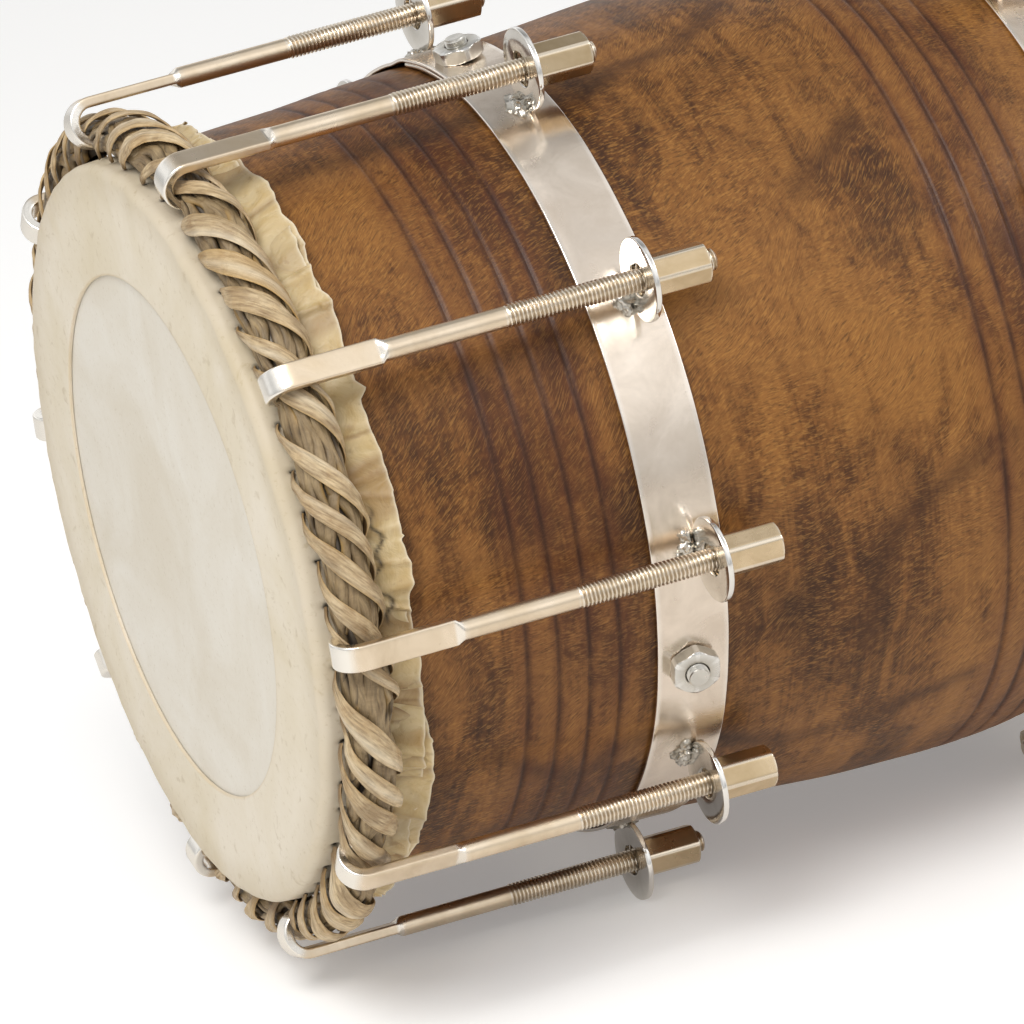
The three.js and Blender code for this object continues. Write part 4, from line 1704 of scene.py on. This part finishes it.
@dataclass
class Skirt:
    """The playing skin's torn edge, which stands out behind the lacing in crinkled layers."""

    head: Head
    sides: int = 1080
    root: float = 19.0
    edge: float = 34.5
    stray: float = 1.5
    flare: float = 4.6
    layers: int = 2
    layer_step: float = 1.3
    leaf: float = 0.45
    tears: int = 12
    creases: int = 64
    widest_at: float = 34.0
    widest_reach: float = 17.0
    widening: float = 3.2
    ink_depth: float = 26.0
    ink_width: float = 0.75
    ink_stray: float = 1.5
    ink_from: float = 71.0
    ink_to: float = 90.0

    def torn_edge(self, angle: Array, layer: int, rng: np.random.Generator) -> Array:
        """Depth of a layer's edge.

        Args:
            angle: Angles on the drum.
            layer: The layer, from 0 outside.
            rng: Source of its tears.

        Returns:
            The depth at each angle.
        """
        slow = Wander(Seed.SKIRT_EDGE + layer, 0.6 * self.stray, 3, 12)
        nicks = Wander(Seed.SKIRT_NICKS + layer, 0.1, 60, 160)
        edge = self.edge - self.layer_step * layer + slow(angle)
        edge += self.widening * bell(angle - self.widest_at, self.widest_reach) * self.head.is_bass
        edge += torn(rng, angle, self.stray, 9.0) + nicks(angle)
        for _ in range(self.tears):
            apart = degrees_apart(angle, rng.uniform(0, FULL_TURN))
            edge += rng.uniform(-2.0, 3.2) * np.clip(1 - apart / rng.uniform(0.7, 1.8), 0, 1)
        return edge

    def folds(self, angle: Array, share: Array, rng: np.random.Generator) -> tuple[Array, Array]:
        """Sharp creases, each at its own slant.

        Args:
            angle: Angles on the drum.
            share: Shares of the way from the root to the edge.
            rng: Source of the creases.

        Returns:
            Their height, and the shade painted along them, darker in the valleys.
        """
        height = np.zeros((len(share), len(angle)))
        dark = np.zeros_like(height)
        for _ in range(self.creases):
            centre, lean = rng.uniform(0, FULL_TURN), rng.uniform(-3, 3)
            apart = degrees_apart(angle[None], centre + lean * share[:, None])
            fold = np.clip(1 - apart / rng.uniform(0.3, 1.3), 0, 1) * eased(share, 0.05, 0.5)[:, None]
            size = rng.uniform(-1.2, 1.6)
            height += size * fold
            # Painted shade along each crease, darker in the valleys.
            dark = np.maximum(dark, fold * (0.75 if size < 0 else 0.25))
        return height, dark

    def ink(self, angle: Array, depth: Array) -> Array:
        """The dark scrawled line on the bass skirt."""
        wavy = self.ink_stray * Wander(Seed.INK, 1.0, 20, 90)(angle)
        line = bell(depth - self.ink_depth - wavy, self.ink_width)
        begun = eased(angle, self.ink_from, self.ink_from + 4)
        return line * begun * (1 - eased(angle, self.ink_to - 2, self.ink_to))

    def outer(self, angle: Array, share: Array, depth: Array, layer: int, height: Array) -> Array:
        """Radius of a layer's outer face.

        Args:
            angle: Angles on the drum.
            share: Shares of the way from the root to the edge.
            depth: Depths there.
            layer: The layer, from 0 outside.
            height: Height of its folds.

        Returns:
            The radii, shares by angles.
        """
        form = self.head.form
        grown = eased(share, 0.1, 1.0)[:, None]
        crinkle = Wander(Seed.SKIRT_CRINKLE + layer, 0.4, 8, 45)(angle)[None] * grown + height
        uneven = 1 + 0.22 * Wander(Seed.SKIRT_FLARE + layer, 1.0, 2, 14)(angle)[None]
        lift = self.flare * share[:, None] ** 1.3 * uneven
        wood = self.head.radius_at(depth) + form.fit
        outer = wood + form.hide + 0.6 * (1 - layer) + np.maximum(lift, 0) + crinkle
        return np.maximum(outer - 0.5 * layer, wood + self.leaf)

    def add_layer(self, surface: Surface, angle: Array, layer: int) -> None:
        """Adds a layer to a surface.

        Args:
            surface: The surface.
            angle: Angles on the drum.
            layer: The layer, from 0 outside.
        """
        rng = np.random.default_rng(Seed.SKIRT_TEARS + layer)
        share = np.concatenate([np.linspace(0, 0.9, 16), [0.95, 0.985, 1.0]])
        edge = self.torn_edge(angle, layer, rng)
        depth = self.root + (edge[None] - self.root) * share[:, None]
        height, dark = self.folds(angle, share, rng)
        outer = self.outer(angle, share, depth, layer, height)
        # Painted shade: darker towards the root, which lies under the lacing, and on the back face. The shade
        # mark adds this to real cloudy tone and the creases' shade.
        hidden = np.concatenate([1 - eased(share, 0.0, 0.5), np.full(len(share), 0.3)])[:, None]
        clouds = eased(Wander(Seed.SKIRT_CLOUDS + layer, 1.0, 6, 40)(angle), 0.2, 1.5)[None]
        shade = 0.8 * hidden + 0.65 * clouds + np.concatenate([dark, dark[::-1]])
        # Painted highlight along the outer face's torn edge.
        pale = np.concatenate([0.5 * eased(share, 0.93, 1.0), np.zeros(len(share))])[:, None]
        ink = self.ink(angle, depth) * (self.head.is_bass and layer == 0)
        both_depths = np.concatenate([depth, depth[::-1]])
        both_radii = np.concatenate([outer, outer[::-1] - self.leaf])
        surface.grid(
            self.head.place(both_depths, both_radii, angle),
            wrap_rows=True,
            shade=np.clip(shade, 0, 1),
            pale=pale,
            hole=0.9 * np.concatenate([ink, 0 * ink]),
        )

    def build(self, finishes: Finishes) -> None:
        """Makes all the layers."""
        surface = Surface()
        for layer in range(self.layers):
            self.add_layer(surface, angles_round(self.sides), layer)
        settle(surface.build(f"{self.head.name}_skirt", finishes.skirt, 60), ROOT, "playing_hide")


@dataclass
class TuningPatch:
    """The round of tuning paste on the treble skin."""

    head: Head
    radius: float = 38.0
    dome: float = 0.7
    edge_stray: float = 0.25
    face_stray: float = 0.03
    thinnest: float = 0.1
    sides: int = 180
    rings: int = 20

    def build(self, finishes: Finishes) -> None:
        """Makes the patch."""
        back = self.head.form.hide
        share = np.concatenate([np.linspace(0.001, 0.9, self.rings), [0.94, 0.97, 0.99, 1.0]])
        angle = angles_round(self.sides)
        edge = self.radius + Wander(Seed.PASTE_EDGE, self.edge_stray, 4, 40)(angle)
        radius = share[:, None] * edge[None]
        rise = self.dome * (1 - share**6) * (0.55 + 0.45 * (1 - share**2))
        worn = Ripple(Seed.PASTE_FACE, self.face_stray, 6, 20)(radius, angle[None])
        front = back - self.thinnest - rise[:, None] + worn
        surface = Surface()
        depth = np.concatenate([front, np.full((2, len(angle)), back)])
        rings = np.concatenate([radius, edge[None], 0.001 * edge[None]])
        surface.grid(self.head.place(depth, rings, angle))
        piece = surface.build(f"{self.head.name}_paste", finishes.paste, 60)
        settle(piece, ROOT, "tuning_paste", f"{self.head.name}_tuning_patch")


# The hoop, its strands and the lacing


class Bundle:
    """The rounded form of the rawhide bundle on a hoop, which straps and strands follow.

    Its knots are distances behind the hooks' bend along a rod, each with a drop below the rod.
    """

    SAMPLES = 160
    KNOTS = ((-3.2, 19.0), (-4.6, 16.0), (-5.0, 12.2), (-4.0, 8.4), (-1.0, 5.8), (3.6, 4.9), (8.0, 6.3),
             (11.0, 9.8), (11.8, 14.0), (10.6, 17.6))

    def __init__(self, head: Head, pinch: float = 1.5, pinch_reach: float = 2.6, swell: float = 0.5) -> None:
        """Draws the form.

        Args:
            head: The head that it belongs to.
            pinch: How far the hooks press it in.
            pinch_reach: Degrees to each side that they do.
            swell: How uneven it is elsewhere.
        """
        self.head, self.pinch, self.pinch_reach = head, pinch, pinch_reach
        self.line = smooth_path(self.KNOTS, self.SAMPLES)
        steps = np.hypot(*np.diff(self.line, axis=0).T)
        self.at = np.concatenate([[0], np.cumsum(steps)])
        tangent = np.gradient(self.line, axis=0)
        tangent /= np.linalg.norm(tangent, axis=1, keepdims=True)
        self.outward = np.stack([tangent[:, 1], -tangent[:, 0]], -1)
        self.swell = Wander(Seed.BUNDLE, swell, 9, 45)

    @property
    def girth(self) -> float:
        """Length round it, from the holes in the rim to its back."""
        return float(self.at[-1])

    def point(self, girth: Array, angle: Array, height: Array) -> Array:
        """Points on or near it.

        Args:
            girth: Distances round it from the holes.
            angle: Angles on the drum.
            height: Heights above it.

        Returns:
            The points in the row frame.
        """
        girth, angle, height = np.broadcast_arrays(girth, angle, height)
        lines = (*self.line.T, *self.outward.T)
        along, drop, ahead, below = (np.interp(girth, self.at, values) for values in lines)
        from_rod = self.head.from_nearest_rod(angle)
        inward = self.pinch * bell(from_rod, self.pinch_reach)
        lift = height - inward - np.maximum(self.swell(angle), -0.6) * (1 - bell(from_rod, 4.0))
        depth, radius = self.head.beside_rod(along + ahead * lift, drop + below * lift)
        return self.head.place(depth, radius, angle)


@dataclass
class Hoop:
    """The steel ring and the bundle of rawhide strands that the hooks pull on."""

    head: Head
    bundle: Bundle
    ring_radius: float = 2.4
    ring_place: tuple[float, float] = (1.0, 10.0)
    ring_sides: int = 20
    ring_steps: int = 240
    strands: int = 9
    strand_sides: int = 14
    half_width: float = 2.8
    half_thickness: float = 1.2
    inset: float = 2.3
    squareness: float = 0.7
    first_strand: float = 3.5
    stray: float = 1.3
    size_stray: float = 0.2
    lean: float = 0.26
    camber: float = 0.25
    lowest: float = 0.25
    sides: int = 1080
    core_rings: int = 24
    core: tuple[float, float] = (2.9, 3.9)

    def build_ring(self, finishes: Finishes) -> None:
        """Makes the steel ring inside the bundle."""
        turn = circle(self.ring_sides)
        along = self.ring_place[0] + self.ring_radius * np.cos(turn)
        depth, radius = self.head.beside_rod(along, self.ring_place[1] + self.ring_radius * np.sin(turn))
        angle = angles_round(self.ring_steps)
        surface = Surface()
        surface.grid(self.head.place(depth[:, None], radius[:, None], angle[None]), wrap_rows=True)
        piece = surface.build(f"{self.head.name}_steel_ring", finishes.ring)
        settle(piece, ROOT, "ring_steel", f"{self.head.name}_hoop_ring")

    def add_strand(self, surface: Surface, number: int, girth: float) -> None:
        """Adds a strand.

        Args:
            surface: The surface that takes it.
            number: Its number, from 0 at the holes in the rim.
            girth: Its place round the bundle.
        """
        angle = angles_round(self.sides)[None]
        x, y = squared_circle(circle(self.strand_sides)[:, None], self.squareness)
        wave = Wander(Seed.STRAND_PATH + number, self.stray, 10, 60)(angle)
        size = 1 + self.size_stray * Wander(Seed.STRAND_SIZE + number, 1.0, 14, 70)(angle)
        lean = self.lean * Wander(Seed.STRAND_LEAN + number, 1.0, 10, 40)(angle)
        across, up = x * self.half_width * size, y * self.half_thickness
        up = up + self.camber * (1 - x**2)
        height = up * np.cos(lean) + across * np.sin(lean) - self.inset
        place = girth + wave + across * np.cos(lean) - up * np.sin(lean)
        points = self.bundle.point(place, angle + 0 * up, np.minimum(height, -self.lowest))
        edge = np.abs(x) ** 6 * eased(Wander(Seed.STRAND_EDGE + number, 1.0, 12, 50)(angle), 0.2, 1.2)
        clouds = eased(Wander(Seed.STRAND_CLOUDS + number, 1.0, 20, 80)(angle), 0, 1.5)
        # Painted shade: darker where the strand lies deep in the bundle and towards its edges, added to real
        # cloudy tone.
        shade = eased(-height, 1.2, 3.0) + 0.25 * clouds + 0.8 * np.abs(x) ** 7
        length = angle * math.radians(1) * self.head.hook_radius
        surface.grid(points, wrap_rows=True, amber=0.6 * edge, shade=np.clip(shade, 0, 1),
                     lengthwise=length, crosswise=across + 40 * number)

    def add_core(self, surface: Surface) -> None:
        """Adds the dark layer of painted shade that closes the gaps between the strands."""
        angle = angles_round(self.sides)[None]
        place = np.linspace(0, self.bundle.girth, self.core_rings)[:, None]
        top, bottom = self.core
        outer = self.bundle.point(place, angle, np.full(1, -top))
        inner = self.bundle.point(place[::-1], angle, np.full(1, -bottom))
        # Painted shade: the core is dark through both the shade and hole marks.
        dark = np.ones((1, 1))
        surface.grid(np.concatenate([outer, inner]), wrap_rows=True, shade=dark, hole=0.6 * dark)

    def build_strands(self, finishes: Finishes) -> None:
        """Makes the strands that run round the drum under the lacing."""
        surface = Surface()
        girths = np.linspace(self.first_strand, self.bundle.girth - self.first_strand, self.strands)
        for number, girth in enumerate(girths):
            self.add_strand(surface, number, float(girth))
        self.add_core(surface)
        piece = surface.build(f"{self.head.name}_strands", finishes.strand, 60)
        settle(piece, ROOT, "strand_hide", f"{self.head.name}_hoop_strands")

    def build(self, finishes: Finishes) -> None:
        """Makes the ring and the strands."""
        self.build_ring(finishes)
        self.build_strands(finishes)


@dataclass
class Lacing:
    """Rawhide straps from the holes in the rim, slanting over the hoop to its back."""

    head: Head
    bundle: Bundle
    pattern: LacePattern
    advance: float = 18.5
    widest: float = 7.2
    front: float = 0.2
    back: float = 0.35
    thickness: float = 1.15
    samples: int = 60
    sides: int = 30
    squareness: float = 0.75
    highest: float = 2.6
    pressed: float = 0.75
    smudge_angle: float = 88.0
    smudge_girth: float = 33.0

    def width(self, share: Array, leaf: Array, rng: np.random.Generator) -> Array:
        """Width along a strap, from its narrow ends to a wider middle."""
        ends = self.front * (1 - share) + self.back * share
        return self.widest * rng.uniform(0.6, 1.15) * (ends + (1 - ends) * leaf)

    def relief(self, rng: np.random.Generator, seed: int, share: Array, leaf: Array, width: Array) -> Array:
        """Height of a strap's points above the bundle, with its roll, fold, camber and creases.

        Args:
            rng: Source of its shape.
            seed: Seed of its creases.
            share: Shares of its length.
            leaf: How full it is there, from 0 to 1.
            width: Its width there.

        Returns:
            The heights, along by round.
        """
        x, y = squared_circle(circle(self.sides)[None], self.squareness)
        side = x * width[:, None] / 2
        leaf = leaf[:, None]
        roll = 0.09 + rng.uniform(-0.03, 0.05)
        fold = rng.uniform(0.0, 0.55) * np.abs(x) ** 3
        camber = rng.uniform(0.1, 0.45) * (1 - x**2)
        crease = Ripple(seed + Seed.STRAP_CREASES, 0.15, 3, 14)(share[:, None] * self.bundle.girth, side)
        pleats = rng.uniform(0.8, 2.1) * x + rng.uniform(0, 2) + rng.uniform(-0.5, 0.5) * share[:, None]
        crease = crease + rng.uniform(0.1, 0.32) * np.cos(np.pi * pleats) * leaf
        body = self.thickness * (1 - 0.45 * x**4) * (0.75 + 0.25 * leaf)
        height = 0.1 + body * (y + 1) / 2 + (fold + camber + crease) * (y + 1.6) / 2.6
        return height + roll * (side + width[:, None] / 2) * leaf

    def tints(self, rng: np.random.Generator, seed: int, share: Array, leaf: Array,
              side: Array) -> dict[str, Array]:
        """Marks that colour a strap: real tone and edge colour, darker ends, painted shade on its underside
        and a painted highlight along it.

        Args:
            rng: Source of its colours.
            seed: Seed of its clouds.
            share: Shares of its length.
            leaf: How full it is there.
            side: Places across it, along by round.

        Returns:
            The marks by name.
        """
        x, y = squared_circle(circle(self.sides)[None], self.squareness)
        ends = 1 - eased(np.minimum(share, 1 - share), 0.0, 0.22)
        cloud = Ripple(seed + Seed.STRAP_CLOUDS, 1.0, 6, 20)(share[:, None] * self.bundle.girth, side)
        tone = rng.uniform(0, 0.35) + 0.3 * eased(cloud, 0.2, 1.4)
        edge = np.abs(x) ** 10 * rng.uniform(0.0, 0.55) + rng.uniform(0, 0.3) * (rng.uniform() < 0.25)
        # Painted highlight: a pale stripe along the strap.
        light = rng.uniform(0, 0.4) * bell(x - rng.uniform(-0.9, 0.9), 0.35) * leaf[:, None]
        # Darker towards the ends, with real cloudy tone, and painted shade on the underside.
        shade = 0.75 * ends[:, None] + tone + 0.5 * (y < -0.2)
        return {"amber": edge, "pale": light, "shade": np.clip(shade, 0, 1)}

    def add_strap(self, surface: Surface, hole: float, seed: int) -> None:
        """Adds one strap.

        Args:
            surface: The surface that takes it.
            hole: Angle of its hole.
            seed: Seed of its shape and colours.
        """
        rng = np.random.default_rng(seed)
        share = np.linspace(0, 1, self.samples)
        girth = share * self.bundle.girth
        advance = self.advance * rng.uniform(0.9, 1.1)
        angle = hole + advance * (0.85 * share + 0.15 * share**2)
        arc = math.radians(1) * (self.head.hook_radius - 8.0)
        lean = np.arctan(np.gradient(angle * arc, girth))
        peak = rng.uniform(0.4, 0.6)
        leaf = np.sin(np.pi * share ** (math.log(0.5) / math.log(peak))) ** 1.05
        width = self.width(share, leaf, rng)
        x, _ = squared_circle(circle(self.sides)[None], self.squareness)
        side = x * width[:, None] / 2
        from_rod = self.head.from_nearest_rod(angle)
        limit = self.highest - self.pressed * bell(from_rod, 3.4)[:, None]
        height = np.minimum(self.relief(rng, seed, share, leaf, width), limit)
        place = np.clip(girth[:, None] - side * np.sin(lean)[:, None], 0, self.bundle.girth)
        turned = angle[:, None] + side * np.cos(lean)[:, None] / arc
        smudge = bell(angle - self.smudge_angle, 2.2) * bell(girth - self.smudge_girth, 5)
        surface.grid(
            self.bundle.point(place, turned, height),
            caps=True,
            hole=0.6 * smudge[:, None],
            lengthwise=1.4 * girth[:, None],
            crosswise=side + 37.0 * (seed % 50),
            **self.tints(rng, seed, share, leaf, side),
        )

    def build(self, finishes: Finishes) -> None:
        """Makes all the straps of one head."""
        surface = Surface()
        first_seed = Seed.BASS_STRAPS if self.head.is_bass else Seed.TREBLE_STRAPS
        for seed, hole in enumerate(self.pattern.holes(), first_seed):
            self.add_strap(surface, float(hole), seed)
        piece = surface.build(f"{self.head.name}_straps", finishes.strap, 60)
        settle(piece, ROOT, "rawhide", f"{self.head.name}_lacing")


# One end of the drum


@dataclass
class DrumEnd:
    """Everything that belongs to one head.

    Each rod comes past its nut by a share of the nut's length. A bolt follows each of the named rods.
    """

    head: Head
    past_nut: tuple[float, ...] = (0.14, 0.13, 0.17, 0.07, -0.05, 0.15, 0.1, 0.16, 0.12, 0.15)
    bolts_after: tuple[int, ...] = (1, 4, 7)

    def build(self, finishes: Finishes) -> None:
        """Makes the head, its hoop and lacing, its band, rods and nuts."""
        pattern = LacePattern(self.head)
        RimSkin(self.head, pattern).build(finishes)
        PlayingSkin(self.head).build(finishes)
        Skirt(self.head).build(finishes)
        bundle = Bundle(self.head)
        Hoop(self.head, bundle).build(finishes)
        Lacing(self.head, bundle, pattern).build(finishes)
        Band(self.head).build(finishes)
        for number, rod in enumerate(self.bolts_after, 1):
            BandBolt(self.head, number, rod).build(finishes)
        for number, share in enumerate(self.past_nut, 1):
            HookRod(self.head, number, share * self.head.form.nut_length).build(finishes)
            LongNut(self.head, number).build(finishes)
        if not self.head.is_bass:
            TuningPatch(self.head).build(finishes)


# Studio


@dataclass(frozen=True)
class Viewpoint:
    """The photograph's camera, as the drum lies in its view.

    View directions are right, down and forwards. Lengths are in millimetres.
    """

    axis_in_view: tuple[float, float, float] = (0.9062, -0.2564, 0.3364)
    head_in_view: tuple[float, float, float] = (-114.435, 8.505, 2003.4)
    roll: float = 21.6
    photo_width: float = 1024.0
    focal_in_pixels: float = 6000.0
    sensor: float = 36.0
    clip: tuple[float, float] = (0.05, 50.0)

    def build(self, form: DrumForm, axis_height: float) -> None:
        """Makes the camera and sets it as the scene's.

        Args:
            form: The drum's sizes.
            axis_height: Height of the barrel's axis.
        """
        x = np.array(self.axis_in_view)
        x /= np.linalg.norm(x)
        u = np.cross(x, [0, 0, 1])
        u /= np.linalg.norm(u)
        w = np.cross(x, u)
        turn = math.radians(self.roll)
        z = math.cos(turn) * u + math.sin(turn) * w
        to_view = np.stack([x, np.cross(z, x), z], -1)
        origin = np.array(self.head_in_view) + form.length / 2 * x - axis_height * z
        data = bpy.data.cameras.new("camera")
        data.sensor_width = self.sensor
        data.lens = self.focal_in_pixels / self.photo_width * self.sensor
        data.clip_start, data.clip_end = self.clip
        camera = bpy.data.objects.new("camera", data)
        bpy.context.scene.collection.objects.link(camera)
        axes = (to_view.T @ np.diag([1.0, -1.0, -1.0])).tolist()
        camera.matrix_world = Matrix(axes).to_4x4()
        camera.location = Vector((-to_view.T @ origin * MM).tolist())
        bpy.context.scene.camera = camera


@dataclass(frozen=True)
class Studio:
    """Pale floor, soft lamps and world light."""

    world_light: float = 0.55
    floor_half: float = 12.0
    key_power: float = 26.0
    side_power: float = 8.0
    dark_corner: tuple[float, float, float] = (0.25, 0.6, 0.76)
    corner_reach: tuple[float, float] = (0.84, 0.97)
    corner_light: float = 0.4
    floor_colour: str = "#f4f3f1"
    floor_in_gloss: str = "#dcd8d2"
    aim: tuple[float, float, float] = (0.0, 0.0, 0.15)

    def build_world(self) -> None:
        """Lights the scene evenly, with a white surround for the camera and uneven light for gloss."""
        world = bpy.data.worlds.new("studio")
        bpy.context.scene.world = world
        world.use_nodes = True
        w = Wiring(world.node_tree, "Generated")

        def light(strength: Socket | float) -> Socket:
            """Adds a plain light."""
            inputs = {"Color": (1, 1, 1, 1), "Strength": strength}
            return w.node("ShaderNodeBackground", inputs).outputs[0]

        rise = w.span(w.part("Z"), 0.05, 0.65, 0.8, 1.05, smooth=True)
        uneven = w.span(w.noise(1.6, 0), 0.35, 0.65, 0.7, 1.2)
        toward = w.node("ShaderNodeVectorMath", {0: w.place, 1: self.dark_corner}, operation="DOT_PRODUCT")
        corner = w.span(toward.outputs["Value"], *self.corner_reach, 1.0, self.corner_light, smooth=True)
        gloss = light(w.times(w.times(rise, corner), uneven))
        path = w.node("ShaderNodeLightPath").outputs
        inputs = {0: path["Is Glossy Ray"], 1: light(self.world_light), 2: gloss}
        unseen = w.node("ShaderNodeMixShader", inputs).outputs[0]
        inputs = {0: path["Is Camera Ray"], 1: unseen, 2: light(1.0)}
        seen = w.node("ShaderNodeMixShader", inputs).outputs[0]
        w.feed(w.tree.nodes["World Output"].inputs["Surface"], seen)

    def build_floor(self) -> None:
        """Makes the floor, which keeps the drum's shadow."""
        half = self.floor_half
        mesh = bpy.data.meshes.new("floor")
        corners = [(-half, -half, 0), (half, -half, 0), (half, half, 0), (-half, half, 0)]
        mesh.from_pydata(corners, [], [(0, 1, 2, 3)])
        s = Shader("floor_paint")
        gloss = s.node("ShaderNodeLightPath").outputs["Is Glossy Ray"]
        s.set(Base_Color=s.mixed(gloss, self.floor_colour, self.floor_in_gloss), Roughness=0.9)
        s.set(Emission_Color=(1, 1, 1, 1), Emission_Strength=s.span(gloss, 0.0, 1.0, 0.22, 0.14))
        mesh.materials.append(s.material)
        floor = bpy.data.objects.new("floor", mesh)
        bpy.context.scene.collection.objects.link(floor)
        floor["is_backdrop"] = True

    def lamp(self, name: str, place: tuple[float, float, float], size: float, power: float) -> None:
        """Adds a soft square lamp that points at the drum.

        Args:
            name: Its name.
            place: Its place in metres.
            size: Its side in metres.
            power: Its power in watts.
        """
        data = bpy.data.lights.new(name, "AREA")
        data.size = size
        data.energy = power
        lamp = bpy.data.objects.new(name, data)
        bpy.context.scene.collection.objects.link(lamp)
        lamp.location = place
        lamp.rotation_mode = "QUATERNION"
        lamp.rotation_quaternion = (Vector(self.aim) - Vector(place)).to_track_quat("-Z", "Y")

    def build(self) -> None:
        """Makes the floor, the lamps and the world."""
        self.build_world()
        self.build_floor()
        self.lamp("key_lamp", (-0.9, -0.9, 1.7), 1.0, self.key_power)
        self.lamp("side_lamp", (1.4, -0.8, 1.2), 0.8, self.side_power)
        bpy.context.scene.view_settings.view_transform = "Standard"


def corners(box: tuple[Vector, Vector]) -> list[list[float]]:
    """A box's lowest and highest corners as plain lists."""
    return [[float(value) for value in corner] for corner in box]


def main() -> None:
    """Builds the camera, the drum and the studio."""
    logging.basicConfig(level=logging.INFO, format="%(message)s")
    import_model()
    cad_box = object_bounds()
    form = DrumForm()
    axis_height = float(cad_box[0].z + cad_box[1].z) / 2 / MM
    Viewpoint().build(form, axis_height)
    finishes = Finishes.make(axis_height * MM)
    heads = [Head(form, end, axis_height) for end in End]
    Barrel(form, heads[0]).build(finishes)
    for head in heads:
        DrumEnd(head).build(finishes)
    Studio().build()


if __name__ == "__main__":
    main()
